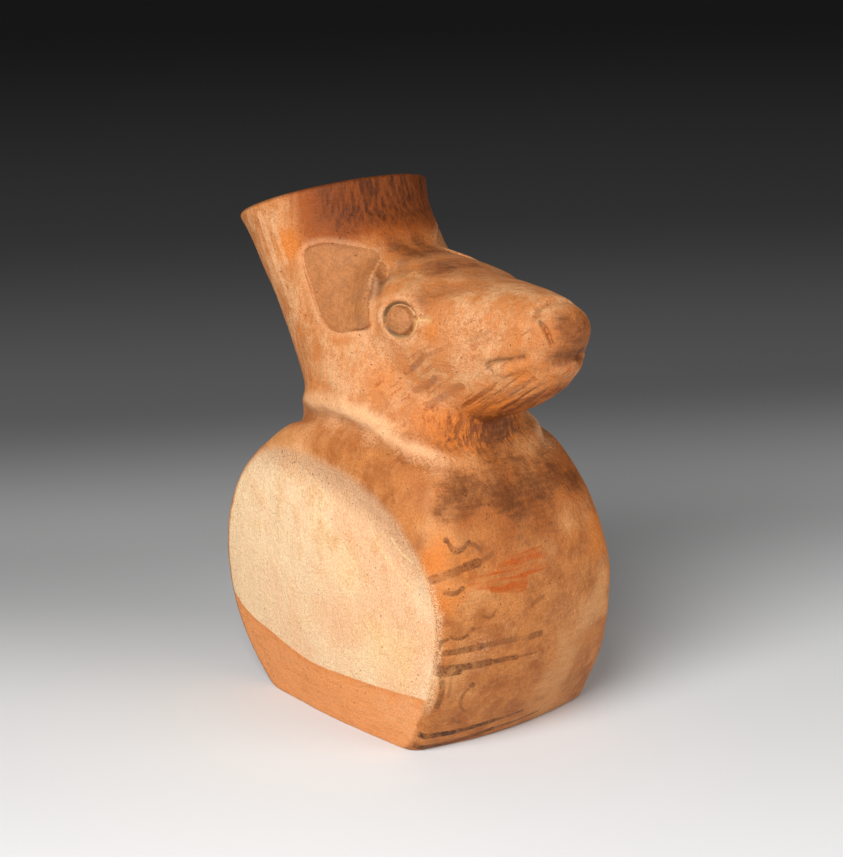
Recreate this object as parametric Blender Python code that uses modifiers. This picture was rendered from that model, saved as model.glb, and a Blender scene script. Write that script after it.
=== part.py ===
"""A flat-sided pottery jar with an animal's head.

The body is a drum that stands on its band: two flat sides, a bulging band between them and a
flat foot. A neck rises from it and leans back into a round spout, and an animal's head with
ears, eyes, a muzzle and a mouth looks forward from the neck. It is one piece of fired clay,
hollow throughout, with its only opening at the spout.

Metres. +Z is up, the animal looks along -Y, and the origin is the middle of the foot.
"""
import math

import bmesh
import bpy
import numpy as np
from mathutils import Matrix, Vector

MM = 0.001

# The body
BODY_WIDTH = 81.2 * MM          # across the edges of the two flat sides
SIDE_DOME = 4.5 * MM            # how far each flat side swells at its middle
BODY_RADIUS = 61.7 * MM         # of the drum, at the edges of its flat sides
BAND_BULGE = 6.4 * MM           # how far the band stands out at its middle
BODY_CENTRE = 46.7 * MM         # height of the drum's centre above the foot
BODY_BACKSET = 7.5 * MM         # the drum's centre, behind the middle of the foot
FOOT_SHIFT = 4.6 * MM           # how far the drum draws forward down to the foot
EDGE_ROUND = 4.0 * MM           # rounding between a flat side and the band

# The neck and spout
NECK_HEIGHT = 103.0 * MM        # where the neck leaves the shoulders
NECK_WIDTH = 69.4 * MM          # side to side, just above the shoulders
NECK_DEPTH = 90.0 * MM          # front to back, just above the shoulders
SPOUT_RADIUS = 34.4 * MM        # outside, at the rim
SPOUT_HEIGHT = 177.2 * MM       # centre of the rim above the foot
SPOUT_BACKSET = 53.4 * MM       # centre of the rim behind the middle of the foot
SPOUT_TILT = math.radians(20)   # how far the rim's plane leans back
SPOUT_ROLL = math.radians(1.5)  # how far the rim droops to the animal's left
CREASE_WIDTH = 2.8 * MM         # half the width of the crease where the neck stands
CREASE_DEPTH = 1.0 * MM         # how deep that crease is

# The animal's head
HEAD_REACH = 77.0 * MM          # from the middle of the foot forward to the nose
HEAD_HEIGHT = 148.0 * MM        # height of the muzzle's axis above the foot

WALL = 5.0 * MM                 # thickness of the clay
AROUND = 96                     # points round a section
GRAIN = 1.15 * MM               # size of the facets that the clay forms are fused with
OVERRUN = 6 * MM                # how far the forms run past the rim before it is cut
SOFTENING = 8.7 * MM            # how far the joins between the forms are smoothed away
OUTER_TRIANGLES = 7700          # of the outer skin, before the foot and the rim are cut
INNER_TRIANGLES = 1900          # of the hollow


def through(knots, places):
    """Values at places of a smooth curve through (place, value) knots that never overshoots."""
    x, y = np.array(knots, float).T
    h = np.diff(x)
    slope = np.diff(y) / h
    tangent = np.zeros_like(y)
    tangent[0], tangent[-1] = slope[0], slope[-1]
    for i in range(1, len(x) - 1):
        if slope[i - 1] * slope[i] > 0:
            a, b = 2 * h[i] + h[i - 1], h[i] + 2 * h[i - 1]
            tangent[i] = (a + b) / (a / slope[i - 1] + b / slope[i])
    t = np.clip(np.asarray(places, float), x[0], x[-1])
    i = np.clip(np.searchsorted(x, t, side="right") - 1, 0, len(h) - 1)
    s = (t - x[i]) / h[i]
    return (
        y[i] * (2 * s**3 - 3 * s**2 + 1)
        + h[i] * tangent[i] * (s**3 - 2 * s**2 + s)
        + y[i + 1] * (3 * s**2 - 2 * s**3)
        + h[i] * tangent[i + 1] * (s**3 - s**2)
    )


def loft(name, rings):
    """A closed skin over rings of the same number of points, with a flat cap at each end."""
    mesh = bpy.data.meshes.new(name)
    form = bmesh.new()
    rows = [[form.verts.new(point) for point in ring] for ring in rings]
    count = len(rows[0])
    for low, high in zip(rows, rows[1:]):
        for j in range(count):
            k = (j + 1) % count
            form.faces.new((low[j], low[k], high[k], high[j]))
    form.faces.new(rows[0][::-1])
    form.faces.new(rows[-1])
    bmesh.ops.recalc_face_normals(form, faces=form.faces)
    form.to_mesh(mesh)
    form.free()
    obj = bpy.data.objects.new(name, mesh)
    bpy.context.scene.collection.objects.link(obj)
    return obj


# Outline of a flat side, as a share of the drum's radius by angle: 0 is the back, 90 the top and
# 180 the front. It sinks at the top, where the shoulders slope up to the neck.
FLAT_OUTLINE = [
    (0, 0.97), (30, 0.955), (45, 0.90), (60, 0.82), (75, 0.75), (92, 0.705), (110, 0.715),
    (126, 0.76), (140, 0.805), (155, 0.875), (170, 0.94), (190, 0.97), (225, 0.97), (360, 0.97),
]
# The drum's own outline, likewise: a little full at the upper front, a little lean at the back.
DRUM_OUTLINE = [
    (0, 0.995), (22, 0.99), (50, 0.955), (75, 0.96), (100, 1.0), (125, 1.05), (148, 1.045),
    (165, 1.02), (180, 1.01), (213, 1.005), (226, 1.025), (270, 1.0), (315, 0.99), (360, 0.995),
]
# How much the band bulges, likewise: less towards the foot.
BAND_SWELL = [
    (0, 1.0), (200, 1.0), (215, 0.85), (228, 0.62), (270, 0.5), (315, 0.6), (335, 0.9), (360, 1.0)
]
SHOULDER_ROUND = 0.52           # widest rounding of the shoulders, as a share of the half width


def body_rings(inset):
    angle = np.linspace(0, 2 * math.pi, AROUND, endpoint=False)
    degrees = np.degrees(angle)
    half = BODY_WIDTH / 2 - inset
    edge = BODY_RADIUS * through(DRUM_OUTLINE, degrees) - inset
    flat = np.minimum(BODY_RADIUS * through(FLAT_OUTLINE, degrees) - inset, edge - EDGE_ROUND)
    softness = np.clip((edge - flat - EDGE_ROUND) / (0.27 * BODY_RADIUS), 0, 1)
    turn = half - EDGE_ROUND - (SHOULDER_ROUND * half - EDGE_ROUND) * softness

    bulge = BAND_BULGE * through(BAND_SWELL, degrees)

    def band(x):
        return edge + bulge * (1 - (x / half) ** 2)

    def ring(x, radius):
        y = BODY_BACKSET + radius * np.cos(angle)
        z = BODY_CENTRE + radius * np.sin(angle)
        below = np.clip(1 - z / BODY_CENTRE, 0, None)
        return np.stack([x + 0 * angle, y - FOOT_SHIFT * below**2, z], 1)

    side = [
        (half + SIDE_DOME * (1 - share**2), flat * share) for share in (0.02, 0.3, 0.6, 0.85, 1.0)
    ]
    for t in (0.2, 0.4, 0.6, 0.8, 1.0):
        x = (1 - t) ** 2 * half + 2 * t * (1 - t) * half + t * t * turn
        side.append((x, (1 - t) ** 2 * flat + 2 * t * (1 - t) * edge + t * t * band(turn)))
    for share in (0.75, 0.5, 0.25):
        side.append((turn * share, band(turn * share)))
    middle = [ring(0 * angle, band(0 * angle))]
    right = [ring(x, radius) for x, radius in side]
    left = [ring(-x, radius) for x, radius in side[::-1]]
    return right + middle + left


# Centre, half width, half depth and tilt of the neck's sections, bottom to rim. Heights and
# places are shares of the way from the shoulders to the rim, sizes are shares of the neck's at
# the shoulders (first four) and of the spout's at the rim (the rest).
def neck_sections():
    rise = SPOUT_HEIGHT - NECK_HEIGHT
    back = SPOUT_BACKSET - BODY_BACKSET
    half_width, half_depth = NECK_WIDTH / 2, NECK_DEPTH / 2
    r = SPOUT_RADIUS
    rows = [
        (-0.38, 0.00, half_width * 0.94, half_depth * 0.96, 0.0),
        (-0.14, 0.00, half_width * 0.97, half_depth * 1.00, 0.0),
        (0.00, 0.00, half_width, half_depth * 0.98, 0.1),
        (0.14, 0.05, half_width, half_depth * 0.91, 0.25),
        (0.30, 0.18, half_width, half_depth * 0.84, 0.45),
        (0.49, 0.38, r * 1.0, r * 1.04, 0.65),
        (0.68, 0.65, r * 0.98, r * 0.92, 0.85),
        (0.85, 0.86, r * 0.97, r * 0.91, 1.0),
        (1.00, 1.00, r, r, 1.0),
    ]
    return [
        (BODY_BACKSET + back * b, NECK_HEIGHT + rise * h, w, d, SPOUT_TILT * t)
        for h, b, w, d, t in rows
    ]


def neck_rings(inset, steps=24, above=0.0):
    rows = np.array(neck_sections())
    path = np.hypot(np.diff(rows[:, 0]), np.diff(rows[:, 1]))
    along = np.concatenate([[0], np.cumsum(path)])
    places = np.linspace(0, along[-1], steps)
    y, z, width, depth, tilt = (through(list(zip(along, column)), places) for column in rows.T)
    angle = np.linspace(0, 2 * math.pi, AROUND, endpoint=False)
    rings = []
    for i in range(steps):
        x = (width[i] - inset) * np.cos(angle)
        q = (depth[i] - inset) * np.sin(angle)
        rings.append(
            np.stack([x, y[i] + q * math.cos(tilt[i]), z[i] - q * math.sin(tilt[i])], 1)
        )
    if above:
        lean = np.array([0, math.sin(SPOUT_TILT), math.cos(SPOUT_TILT)])
        rings.append(rings[-1] + above * lean)
    return rings


# The head's upright sections from the neck to the nose: place along the reach, half width, top
# and bottom about the muzzle's axis (as shares of the reach).
HEAD_SECTIONS = [
    (-0.30, 0.36, 0.25, -0.42),
    (0.00, 0.37, 0.205, -0.50),
    (0.20, 0.36, 0.180, -0.54),
    (0.40, 0.31, 0.160, -0.50),
    (0.58, 0.248, 0.155, -0.44),
    (0.72, 0.205, 0.153, -0.375),
    (0.82, 0.178, 0.142, -0.315),
    (0.89, 0.158, 0.115, -0.265),
    (0.935, 0.120, 0.060, -0.205),
    (0.955, 0.04, -0.02, -0.10),
]


def head_rings(inset, steps=28):
    rows = np.array(HEAD_SECTIONS)
    path = np.hypot(np.diff(rows[:, 0]), np.diff(rows[:, 1]))
    along = np.concatenate([[0], np.cumsum(path)])
    places = np.linspace(0, along[-1], steps)
    place, width, top, bottom = (through(list(zip(along, c)), places) for c in rows.T)
    angle = np.linspace(0, 2 * math.pi, AROUND, endpoint=False)
    rings = []
    for i in range(steps):
        reach = min(place[i] * HEAD_REACH, rows[-1, 0] * HEAD_REACH - inset)
        x = max(width[i] * HEAD_REACH - inset, 0.0002) * np.cos(angle)
        up = max(top[i] * HEAD_REACH - inset, 0.0002)
        down = max(-bottom[i] * HEAD_REACH - inset, 0.0002)
        z = HEAD_HEIGHT + np.where(np.sin(angle) > 0, up, down) * np.sin(angle)
        rings.append(np.stack([x, -reach + 0 * angle, z], 1))
    return rings


# Rounded lumps of the head: centre, then half sizes, in hundredths of the head's reach from the
# muzzle's axis. One that isn't in the middle is mirrored to the other side.
LUMPS = {
    "nose": ((0, -87.1, -0.9), (15.8, 12.9, 12.8)),
    "lower lip": ((0, -85.4, -14.4), (12.2, 13, 7.4)),
    "brow": ((22, -19, 4.2), (11.7, 17.5, 8.8)),
}


def on_head(place):
    """The point at a place that is given in hundredths of the head's reach."""
    return np.array(place) * HEAD_REACH / 100 + (0, 0, HEAD_HEIGHT)


def lumps():
    forms = []
    for name, (centre, half) in LUMPS.items():
        for side in (1, -1) if centre[0] else (1,):
            form = bmesh.new()
            place = Matrix.Translation(on_head(centre) * (side, 1, 1))
            size = np.array(half) * HEAD_REACH / 100
            turn = place @ Matrix.Diagonal((*size, 1))
            bmesh.ops.create_icosphere(form, subdivisions=4, radius=1, matrix=turn)
            mesh = bpy.data.meshes.new(name)
            form.to_mesh(mesh)
            form.free()
            obj = bpy.data.objects.new(name, mesh)
            bpy.context.scene.collection.objects.link(obj)
            forms.append(obj)
    return forms


def fused(name, forms, grain):
    """One skin round all the overlapping forms, which are used up."""
    whole = bmesh.new()
    for form in forms:
        whole.from_mesh(form.data)
        bpy.data.objects.remove(form)
    mesh = bpy.data.meshes.new(name)
    whole.to_mesh(mesh)
    whole.free()
    obj = bpy.data.objects.new(name, mesh)
    bpy.context.scene.collection.objects.link(obj)
    remesh = obj.modifiers.new("fuse", "REMESH")
    remesh.mode = "VOXEL"
    remesh.voxel_size = grain
    bake(obj)
    return obj


def bake(obj):
    """Turns the object's modifiers into its mesh."""
    graph = bpy.context.evaluated_depsgraph_get()
    mesh = bpy.data.meshes.new_from_object(obj.evaluated_get(graph))
    obj.modifiers.clear()
    obj.data = mesh


def smooth(obj, weight, factor, rounds):
    """Wet-clay smoothing, by a weight from 0 to 1 for each of the skin's points."""
    group = obj.vertex_groups.new(name="smoothing")
    points = np.array([v.co for v in obj.data.vertices])
    for index, w in enumerate(weight(points)):
        group.add([index], float(w), "REPLACE")
    modifier = obj.modifiers.new("smooth", "SMOOTH")
    modifier.vertex_group = group.name
    modifier.factor = factor
    modifier.iterations = rounds
    bake(obj)
    obj.vertex_groups.clear()


def ramp(low, high, value):
    """0 below low, 1 above high, and an even S-curve between."""
    t = np.clip((value - low) / (high - low), 0, 1)
    return t * t * (3 - 2 * t)


def soft_places(points):
    """Where the forms flow into each other: the shoulders, the cheeks and the throat."""
    x, y, z = points.T
    neck = ramp(0.80, 0.95, z / NECK_HEIGHT)
    spout = 1 - ramp(0.90, 0.97, z / SPOUT_HEIGHT)
    muzzle = ramp(0.45, 0.80, -y / HEAD_REACH)
    return neck * spout * (1 - 0.85 * muzzle) + 0.02


# Drawn features of the head, for one side and mirrored to the other. Places are (side, back, up)
# from the muzzle's axis above the middle of the foot, and these and all sizes of the face are in
# hundredths of the head's reach.
EAR = [
    (36.6, -2.3, -4.5), (36.8, -1.6, -8.3), (38.4, 6.1, -11.3), (41.4, 13.4, -13),
    (42.5, 20.3, -10.4), (42.5, 26.9, -4), (41.7, 32.2, 4.3), (41, 38.8, 13.2), (39.7, 41, 20.8),
    (34.7, 32.5, 24.7), (28.7, 23.9, 23.9), (22.7, 16.6, 22.9), (21.6, 7.8, 19.5),
    (27.3, 2.1, 15.1), (32.9, -1.3, 9.6), (35.7, -2.1, 4.4),
]
EYE = (34.9, -23.9, -1.4)       # centre of the eye on the skin
EYE_OUT = (0.99, -0.15, 0.06)   # the way the eye looks
EYE_RING = 7.4                  # radius of the ring cut round the eye
PUPIL = (34.9, -25.0, -1.0)     # centre of the dome on the eye
PUPIL_DOME = 5.4                # its radius
FURROWS = {                     # name: (points, half width, depth)
    "tear": ([(32.7, -31.9, 0.8), (31.2, -37.1, 0.5), (30.1, -40.5, 1)], 1.04, 1.04),
    "before the ear": ([(21.5, 1.0, 19.2), (26.8, -3.4, 12.3), (31.4, -5.9, 5.2)], 3.2, 2.4),
    "mouth": (
        [
            (19.7, -65.1, -17.4), (18.7, -70.1, -14.5), (17.1, -75.7, -13.1), (15.6, -83.1, -10.1),
            (13.8, -89.6, -8.2), (8, -96, -10.2), (0, -98.7, -10.4),
        ],
        1.4, 1.9,
    ),
    "beside the nose": ([(12.4, -86.2, 9.0), (13.8, -89.1, 4.7), (13.5, -92.5, 0.5)], 1.2, 2.2),
    "above the nose": ([(0, -79.9, 14), (6.5, -80.5, 13), (12.4, -85, 9.6)], 2.4, 1.3),
}
SWELLINGS = {                   # likewise, raised instead
    "upper lip": ([(20, -64, -13.2), (18, -72, -9.8), (15.6, -82, -5.6)], 2.8, 1.1),
    "brow": ([(27, -3, 11), (30, -14, 9.5), (29.5, -21, 7.5)], 6.0, 1.2),
}
# Where the neck stands on the shoulders, for one side: side as a share of the neck's half width,
# back of the drum's centre as a share of its half depth, up as a share of its height.
NECK_CREASE = [
    (0, 1.056, 0.951), (0.576, 0.922, 0.957), (0.807, 0.722, 0.981), (0.908, 0.456, 1.021),
    (0.983, 0.142, 1.045), (0.986, -0.078, 1.043), (0.977, -0.304, 1.028), (0.968, -0.547, 1),
    (0.916, -0.744, 0.983), (0.781, -0.907, 0.967), (0.591, -1.027, 0.951),
    (0.346, -1.089, 0.948), (0, -1.122, 0.946),
]


def away_from(points, line, place=on_head):
    """Distance of each point to a line of straight pieces."""
    best = np.full(len(points), np.inf)
    for a, b in zip(line, line[1:]):
        a, b = place(a), place(b)
        t = np.clip((points - a) @ (b - a) / ((b - a) @ (b - a)), 0, 1)
        gap = np.linalg.norm(points - a - t[:, None] * (b - a), axis=1)
        best = np.minimum(best, gap)
    return best


def inside(points, outline):
    """Whether each point lies inside an outline, seen from the side."""
    y, z = points[:, 1], points[:, 2]
    within = np.zeros(len(points), bool)
    for a, b in zip(outline, outline[1:] + outline[:1]):
        (ay, az), (by, bz) = on_head(a)[1:], on_head(b)[1:]
        if az == bz:
            continue
        crosses = (az > z) != (bz > z)
        within ^= crosses & (y < ay + (z - az) * (by - ay) / (bz - az))
    return within


def folded(points):
    """The points with the animal's right side mirrored onto its left."""
    return np.abs(points) * (1, 0, 0) + points * (0, 1, 1)


def on_body(place):
    """The point at a place that is given in shares of the neck's sizes."""
    side, back, up = place
    return np.array(
        (side * NECK_WIDTH / 2, BODY_BACKSET + back * NECK_DEPTH / 2, up * NECK_HEIGHT)
    )


def round_eye(points, centre):
    """Distance of each point to the line through an eye, straight out of the head."""
    out = np.array(EYE_OUT) / np.linalg.norm(EYE_OUT)
    offset = (points - on_head(centre)) * 100 / HEAD_REACH
    across = np.linalg.norm(offset - (offset @ out)[:, None] * out, axis=1)
    across[np.abs(offset @ out) > 10] = 100
    return across


def drawn(places):
    """How far the drawn features move each point of the skin outward, inward where negative."""
    unit = HEAD_REACH / 100
    points = folded(places)
    move = np.zeros(len(points))
    for line, half_width, depth in FURROWS.values():
        gap = away_from(points, line) / unit
        move -= depth * np.exp(-((gap / half_width) ** 2))
    for line, half_width, height in SWELLINGS.values():
        gap = away_from(points, line) / unit
        move += height * np.exp(-((gap / half_width) ** 2))
    edge = away_from(points, EAR + EAR[:1]) / unit
    depth = np.where(inside(points, EAR), edge, -edge)
    depth[points[:, 0] < 12 * unit] = -50
    front = ramp(22, -2, points[:, 1] / unit)
    up = (points[:, 2] - HEAD_HEIGHT) / unit
    top = ramp(14, 24, up) * ramp(40, 26, points[:, 1] / unit)
    raised = np.maximum(front, 0.4 * top)
    move += 2.5 * raised * ramp(-0.9, 1.4, depth) * ramp(16, 2, depth)
    move -= 1.0 * (1 - raised) * ramp(-0.7, 0.6, depth) * ramp(14, 1, depth)
    move -= 0.5 * np.exp(-(((depth + 0.2) / 0.9) ** 2))
    move -= 2.1 * np.exp(-((round_eye(points, EYE) - EYE_RING) ** 2))
    dome = round_eye(points, PUPIL) / PUPIL_DOME
    move += 1.4 * np.sqrt(np.clip(1 - dome**2, 0, 1))
    gap = away_from(points, NECK_CREASE, on_body)
    return move * unit - CREASE_DEPTH * np.exp(-((gap / CREASE_WIDTH) ** 2))


def carve(obj):
    """Presses and lifts the drawn features in the skin, made finer first where they are."""
    form = bmesh.new()
    form.from_mesh(obj.data)
    unit = HEAD_REACH / 100
    places = folded(np.array([e.verts[0].co for e in form.edges]))
    close = np.linalg.norm(places - on_head(EYE), axis=1) < 11 * unit
    for line, half_width, depth in FURROWS.values():
        close |= away_from(places, line) < (half_width + 1.3) * unit
    close |= (away_from(places, EAR + EAR[:1]) < 2.8 * unit) & (places[:, 0] > 12 * unit)
    form.edges.ensure_lookup_table()
    chosen = [form.edges[i] for i in np.flatnonzero(close)]
    bmesh.ops.subdivide_edges(form, edges=chosen, cuts=1, use_grid_fill=True)
    bmesh.ops.triangulate(form, faces=form.faces)
    form.normal_update()
    points = np.array([v.co for v in form.verts])
    for vertex, move in zip(form.verts, drawn(points)):
        vertex.co += vertex.normal * float(move)
    form.to_mesh(obj.data)
    form.free()


def thinned(obj, triangles):
    """The same skin with about this many triangles."""
    modifier = obj.modifiers.new("thin", "DECIMATE")
    modifier.ratio = triangles / sum(len(p.vertices) - 2 for p in obj.data.polygons)
    bake(obj)


def cut_flat(obj, point, outward):
    """Cuts off what lies beyond a plane, and closes the cut."""
    form = bmesh.new()
    form.from_mesh(obj.data)
    whole = form.verts[:] + form.edges[:] + form.faces[:]
    cut = bmesh.ops.bisect_plane(
        form, geom=whole, dist=1e-6, plane_co=point, plane_no=outward, clear_outer=True
    )
    edges = [e for e in cut["geom_cut"] if isinstance(e, bmesh.types.BMEdge)]
    bmesh.ops.holes_fill(form, edges=edges)
    bmesh.ops.recalc_face_normals(form, faces=form.faces)
    form.to_mesh(obj.data)
    form.free()


def skin(name, inset, grain, above):
    """The whole of the jar's form, or of the hollow when inset by the wall."""
    forms = [
        loft("body", body_rings(inset)),
        loft("neck", neck_rings(inset, above=above)),
        loft("head", head_rings(inset)),
    ]
    if not inset:
        forms += lumps()
    obj = fused(name, forms, grain)
    smooth(obj, soft_places, 0.5, round((SOFTENING / grain) ** 2))
    return obj


def main():
    for obj in list(bpy.data.objects):
        bpy.data.objects.remove(obj)
    rim = Vector((0, SPOUT_BACKSET, SPOUT_HEIGHT))
    roll = math.tan(SPOUT_ROLL)
    lean = Vector((roll, math.sin(SPOUT_TILT), math.cos(SPOUT_TILT))).normalized()
    jar = skin("jar", 0, GRAIN, OVERRUN)
    carve(jar)
    thinned(jar, OUTER_TRIANGLES)
    cut_flat(jar, (0, 0, 0), (0, 0, -1))
    cut_flat(jar, rim, lean)

    hollow = skin("hollow", WALL, 2 * GRAIN, 3 * OVERRUN)
    thinned(hollow, INNER_TRIANGLES)
    cut_flat(hollow, (0, 0, WALL), (0, 0, -1))

    hollowing = jar.modifiers.new("hollow", "BOOLEAN")
    hollowing.operation = "DIFFERENCE"
    hollowing.object = hollow
    bake(jar)
    bpy.data.objects.remove(hollow)

    clay = bpy.data.materials.new("fired clay")
    clay.use_nodes = True
    surface = clay.node_tree.nodes["Principled BSDF"]
    surface.inputs["Base Color"].default_value = (0.56, 0.27, 0.11, 1)
    surface.inputs["Roughness"].default_value = 0.62
    jar.data.materials.clear()
    jar.data.materials.append(clay)
    for polygon in jar.data.polygons:
        polygon.use_smooth = False


main()
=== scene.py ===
"""A flat-sided pottery jar with an animal's head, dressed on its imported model."""

import math

import bmesh
import bpy
import numpy as np
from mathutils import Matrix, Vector


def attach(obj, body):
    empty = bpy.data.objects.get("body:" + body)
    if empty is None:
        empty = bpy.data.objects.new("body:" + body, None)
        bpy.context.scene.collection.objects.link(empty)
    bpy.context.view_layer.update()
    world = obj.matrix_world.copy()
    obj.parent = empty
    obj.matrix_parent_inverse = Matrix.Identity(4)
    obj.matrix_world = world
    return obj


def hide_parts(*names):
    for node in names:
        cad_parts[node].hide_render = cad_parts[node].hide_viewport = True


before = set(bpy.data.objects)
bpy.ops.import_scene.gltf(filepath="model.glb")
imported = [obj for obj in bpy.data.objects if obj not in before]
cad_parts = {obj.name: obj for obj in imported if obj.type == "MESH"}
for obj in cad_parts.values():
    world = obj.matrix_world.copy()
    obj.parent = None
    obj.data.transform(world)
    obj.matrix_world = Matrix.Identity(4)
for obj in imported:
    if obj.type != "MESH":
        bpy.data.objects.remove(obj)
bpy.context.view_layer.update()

MM = 0.001

# The jar's own sizes, as in its CAD
BODY_WIDTH = 81.2 * MM  # across the edges of the two flat sides
SIDE_DOME = 4.5 * MM  # how far each flat side swells at its middle
BODY_RADIUS = 61.7 * MM  # of the drum, at the edges of its flat sides
BAND_BULGE = 6.4 * MM  # how far the band stands out at its middle
BODY_CENTRE = 46.7 * MM  # height of the drum's centre above the foot
BODY_BACKSET = 7.5 * MM  # the drum's centre, behind the middle of the foot
FOOT_SHIFT = 4.6 * MM  # how far the drum draws forward down to the foot
EDGE_ROUND = 4.0 * MM  # rounding between a flat side and the band
SHOULDER_ROUND = 0.52  # widest rounding of the shoulders, share of the half width
NECK_HEIGHT = 103.0 * MM  # where the neck leaves the shoulders
NECK_WIDTH = 69.4 * MM  # side to side, just above the shoulders
NECK_DEPTH = 90.0 * MM  # front to back, just above the shoulders
SPOUT_RADIUS = 34.4 * MM  # outside, at the rim
SPOUT_HEIGHT = 177.2 * MM  # centre of the rim above the foot
SPOUT_BACKSET = 53.4 * MM  # centre of the rim behind the middle of the foot
SPOUT_TILT = math.radians(20)  # how far the rim's plane leans back
SPOUT_ROLL = math.radians(1.5)  # how far the rim droops to the animal's left
HEAD_REACH = 77.0 * MM  # from the middle of the foot forward to the nose
HEAD_HEIGHT = 148.0 * MM  # height of the muzzle's axis above the foot
WALL = 5.0 * MM  # thickness of the clay

AROUND = 96  # points round a section
GRAIN = 1.25 * MM  # the net that the clay forms are fused with
SOFTENING = 8.7 * MM  # how far the joins between the forms are smoothed away
RIM_ROUND = 1.1 * MM  # rounding of the rim's two edges
OVERRUN = 6 * MM  # how far the forms run past the rim before it is cut

ROUND = np.arange(AROUND) * 2 * math.pi / AROUND
RIM = Vector((0, SPOUT_BACKSET, SPOUT_HEIGHT))
LEAN = Vector((math.tan(SPOUT_ROLL), math.sin(SPOUT_TILT), math.cos(SPOUT_TILT))).normalized()


# ---- curves and small helpers

def through(knots, places):
    """Values at places of a smooth curve through (place, value) knots that never overshoots."""
    x, y = np.array(knots, float).T
    h = np.diff(x)
    slope = np.diff(y) / h
    tangent = np.zeros_like(y)
    tangent[0], tangent[-1] = slope[0], slope[-1]
    for i in range(1, len(x) - 1):
        if slope[i - 1] * slope[i] > 0:
            a, b = 2 * h[i] + h[i - 1], h[i] + 2 * h[i - 1]
            tangent[i] = (a + b) / (a / slope[i - 1] + b / slope[i])
    t = np.clip(np.asarray(places, float), x[0], x[-1])
    i = np.clip(np.searchsorted(x, t, side="right") - 1, 0, len(h) - 1)
    s = (t - x[i]) / h[i]
    return (
        y[i] * (2 * s**3 - 3 * s**2 + 1)
        + h[i] * tangent[i] * (s**3 - 2 * s**2 + s)
        + y[i + 1] * (3 * s**2 - 2 * s**3)
        + h[i] * tangent[i + 1] * (s**3 - s**2)
    )


def spaced(rows, steps):
    """The rows of a table read at even steps along the curve of their first two values."""
    path = np.hypot(np.diff(rows[:, 0]), np.diff(rows[:, 1]))
    along = np.concatenate([[0], np.cumsum(path)])
    places = np.linspace(0, along[-1], steps)
    return list(zip(*(through(list(zip(along, column)), places) for column in rows.T)))


def ramp(low, high, value):
    """0 below low, 1 above high, and an even S-curve between."""
    t = np.clip((value - low) / (high - low), 0, 1)
    return t * t * (3 - 2 * t)


def nothing_selected():
    if bpy.context.object and bpy.context.object.mode != "OBJECT":
        bpy.ops.object.mode_set(mode="OBJECT")
    bpy.ops.object.select_all(action="DESELECT")


def only(obj):
    nothing_selected()
    obj.select_set(True)
    bpy.context.view_layer.objects.active = obj


def edit(obj, kind="VERT"):
    only(obj)
    bpy.ops.object.mode_set(mode="EDIT")
    bpy.ops.mesh.select_mode(type=kind)
    bpy.ops.mesh.select_all(action="DESELECT")


def done():
    bpy.ops.object.mode_set(mode="OBJECT")


def points_of(obj):
    places = np.empty(len(obj.data.vertices) * 3)
    obj.data.vertices.foreach_get("co", places)
    return places.reshape(-1, 3)


def move_to(obj, places):
    obj.data.vertices.foreach_set("co", np.ascontiguousarray(places, float).ravel())
    obj.data.update()


def outward(obj):
    ways = np.empty(len(obj.data.vertices) * 3)
    obj.data.vertices.foreach_get("normal", ways)
    return ways.reshape(-1, 3)


def joined(objects):
    """All of the forms as one, on the first."""
    nothing_selected()
    for obj in objects:
        obj.select_set(True)
    bpy.context.view_layer.objects.active = objects[0]
    bpy.ops.object.join()
    return bpy.context.object


def apply(obj, kind, **settings):
    only(obj)
    modifier = obj.modifiers.new(kind.lower(), kind)
    for name, value in settings.items():
        setattr(modifier, name, value)
    bpy.ops.object.modifier_apply(modifier=modifier.name)


# ---- the clay forms

FLAT_OUTLINE = [
    (0, 0.97), (30, 0.955), (45, 0.9), (60, 0.82), (75, 0.75), (92, 0.705), (110, 0.715),
    (126, 0.76), (140, 0.805), (155, 0.875), (170, 0.94), (190, 0.97), (225, 0.97), (360, 0.97),
]
DRUM_OUTLINE = [
    (0, 0.995), (22, 0.99), (50, 0.955), (75, 0.96), (100, 1.0), (125, 1.05), (148, 1.045),
    (165, 1.02), (180, 1.01), (213, 1.005), (226, 1.025), (270, 1.0), (315, 0.99), (360, 0.995),
]
BAND_SWELL = [
    (0, 1.0), (200, 1.0), (215, 0.85), (228, 0.62), (270, 0.5), (315, 0.6), (335, 0.9), (360, 1.0)
]


def drum_sections(inset):
    """Sections of the drum across its width: place and radius at each of the points round it."""
    degrees = np.arange(AROUND) * 360 / AROUND
    half = BODY_WIDTH / 2 - inset
    edge = BODY_RADIUS * through(DRUM_OUTLINE, degrees) - inset
    flat = np.minimum(BODY_RADIUS * through(FLAT_OUTLINE, degrees) - inset, edge - EDGE_ROUND)
    softness = np.clip((edge - flat - EDGE_ROUND) / (0.27 * BODY_RADIUS), 0, 1)
    turn = half - EDGE_ROUND - (SHOULDER_ROUND * half - EDGE_ROUND) * softness
    bulge = BAND_BULGE * through(BAND_SWELL, degrees)
    side = []
    for share in (0.02, 0.3, 0.6, 0.85, 1.0):
        side.append((half + SIDE_DOME * (1 - share**2) + 0 * flat, flat * share))
    for t in (0.2, 0.4, 0.6, 0.8, 1.0):
        x = (1 - t) ** 2 * half + 2 * t * (1 - t) * half + t * t * turn
        band = edge + bulge * (1 - (turn / half) ** 2)
        side.append((x, (1 - t) ** 2 * flat + 2 * t * (1 - t) * edge + t * t * band))
    for share in (0.75, 0.5, 0.25):
        side.append((turn * share, edge + bulge * (1 - (turn * share / half) ** 2)))
    middle = [(0 * edge, edge + bulge)]
    return side + middle + [(-x, radius) for x, radius in side[::-1]]


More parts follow.
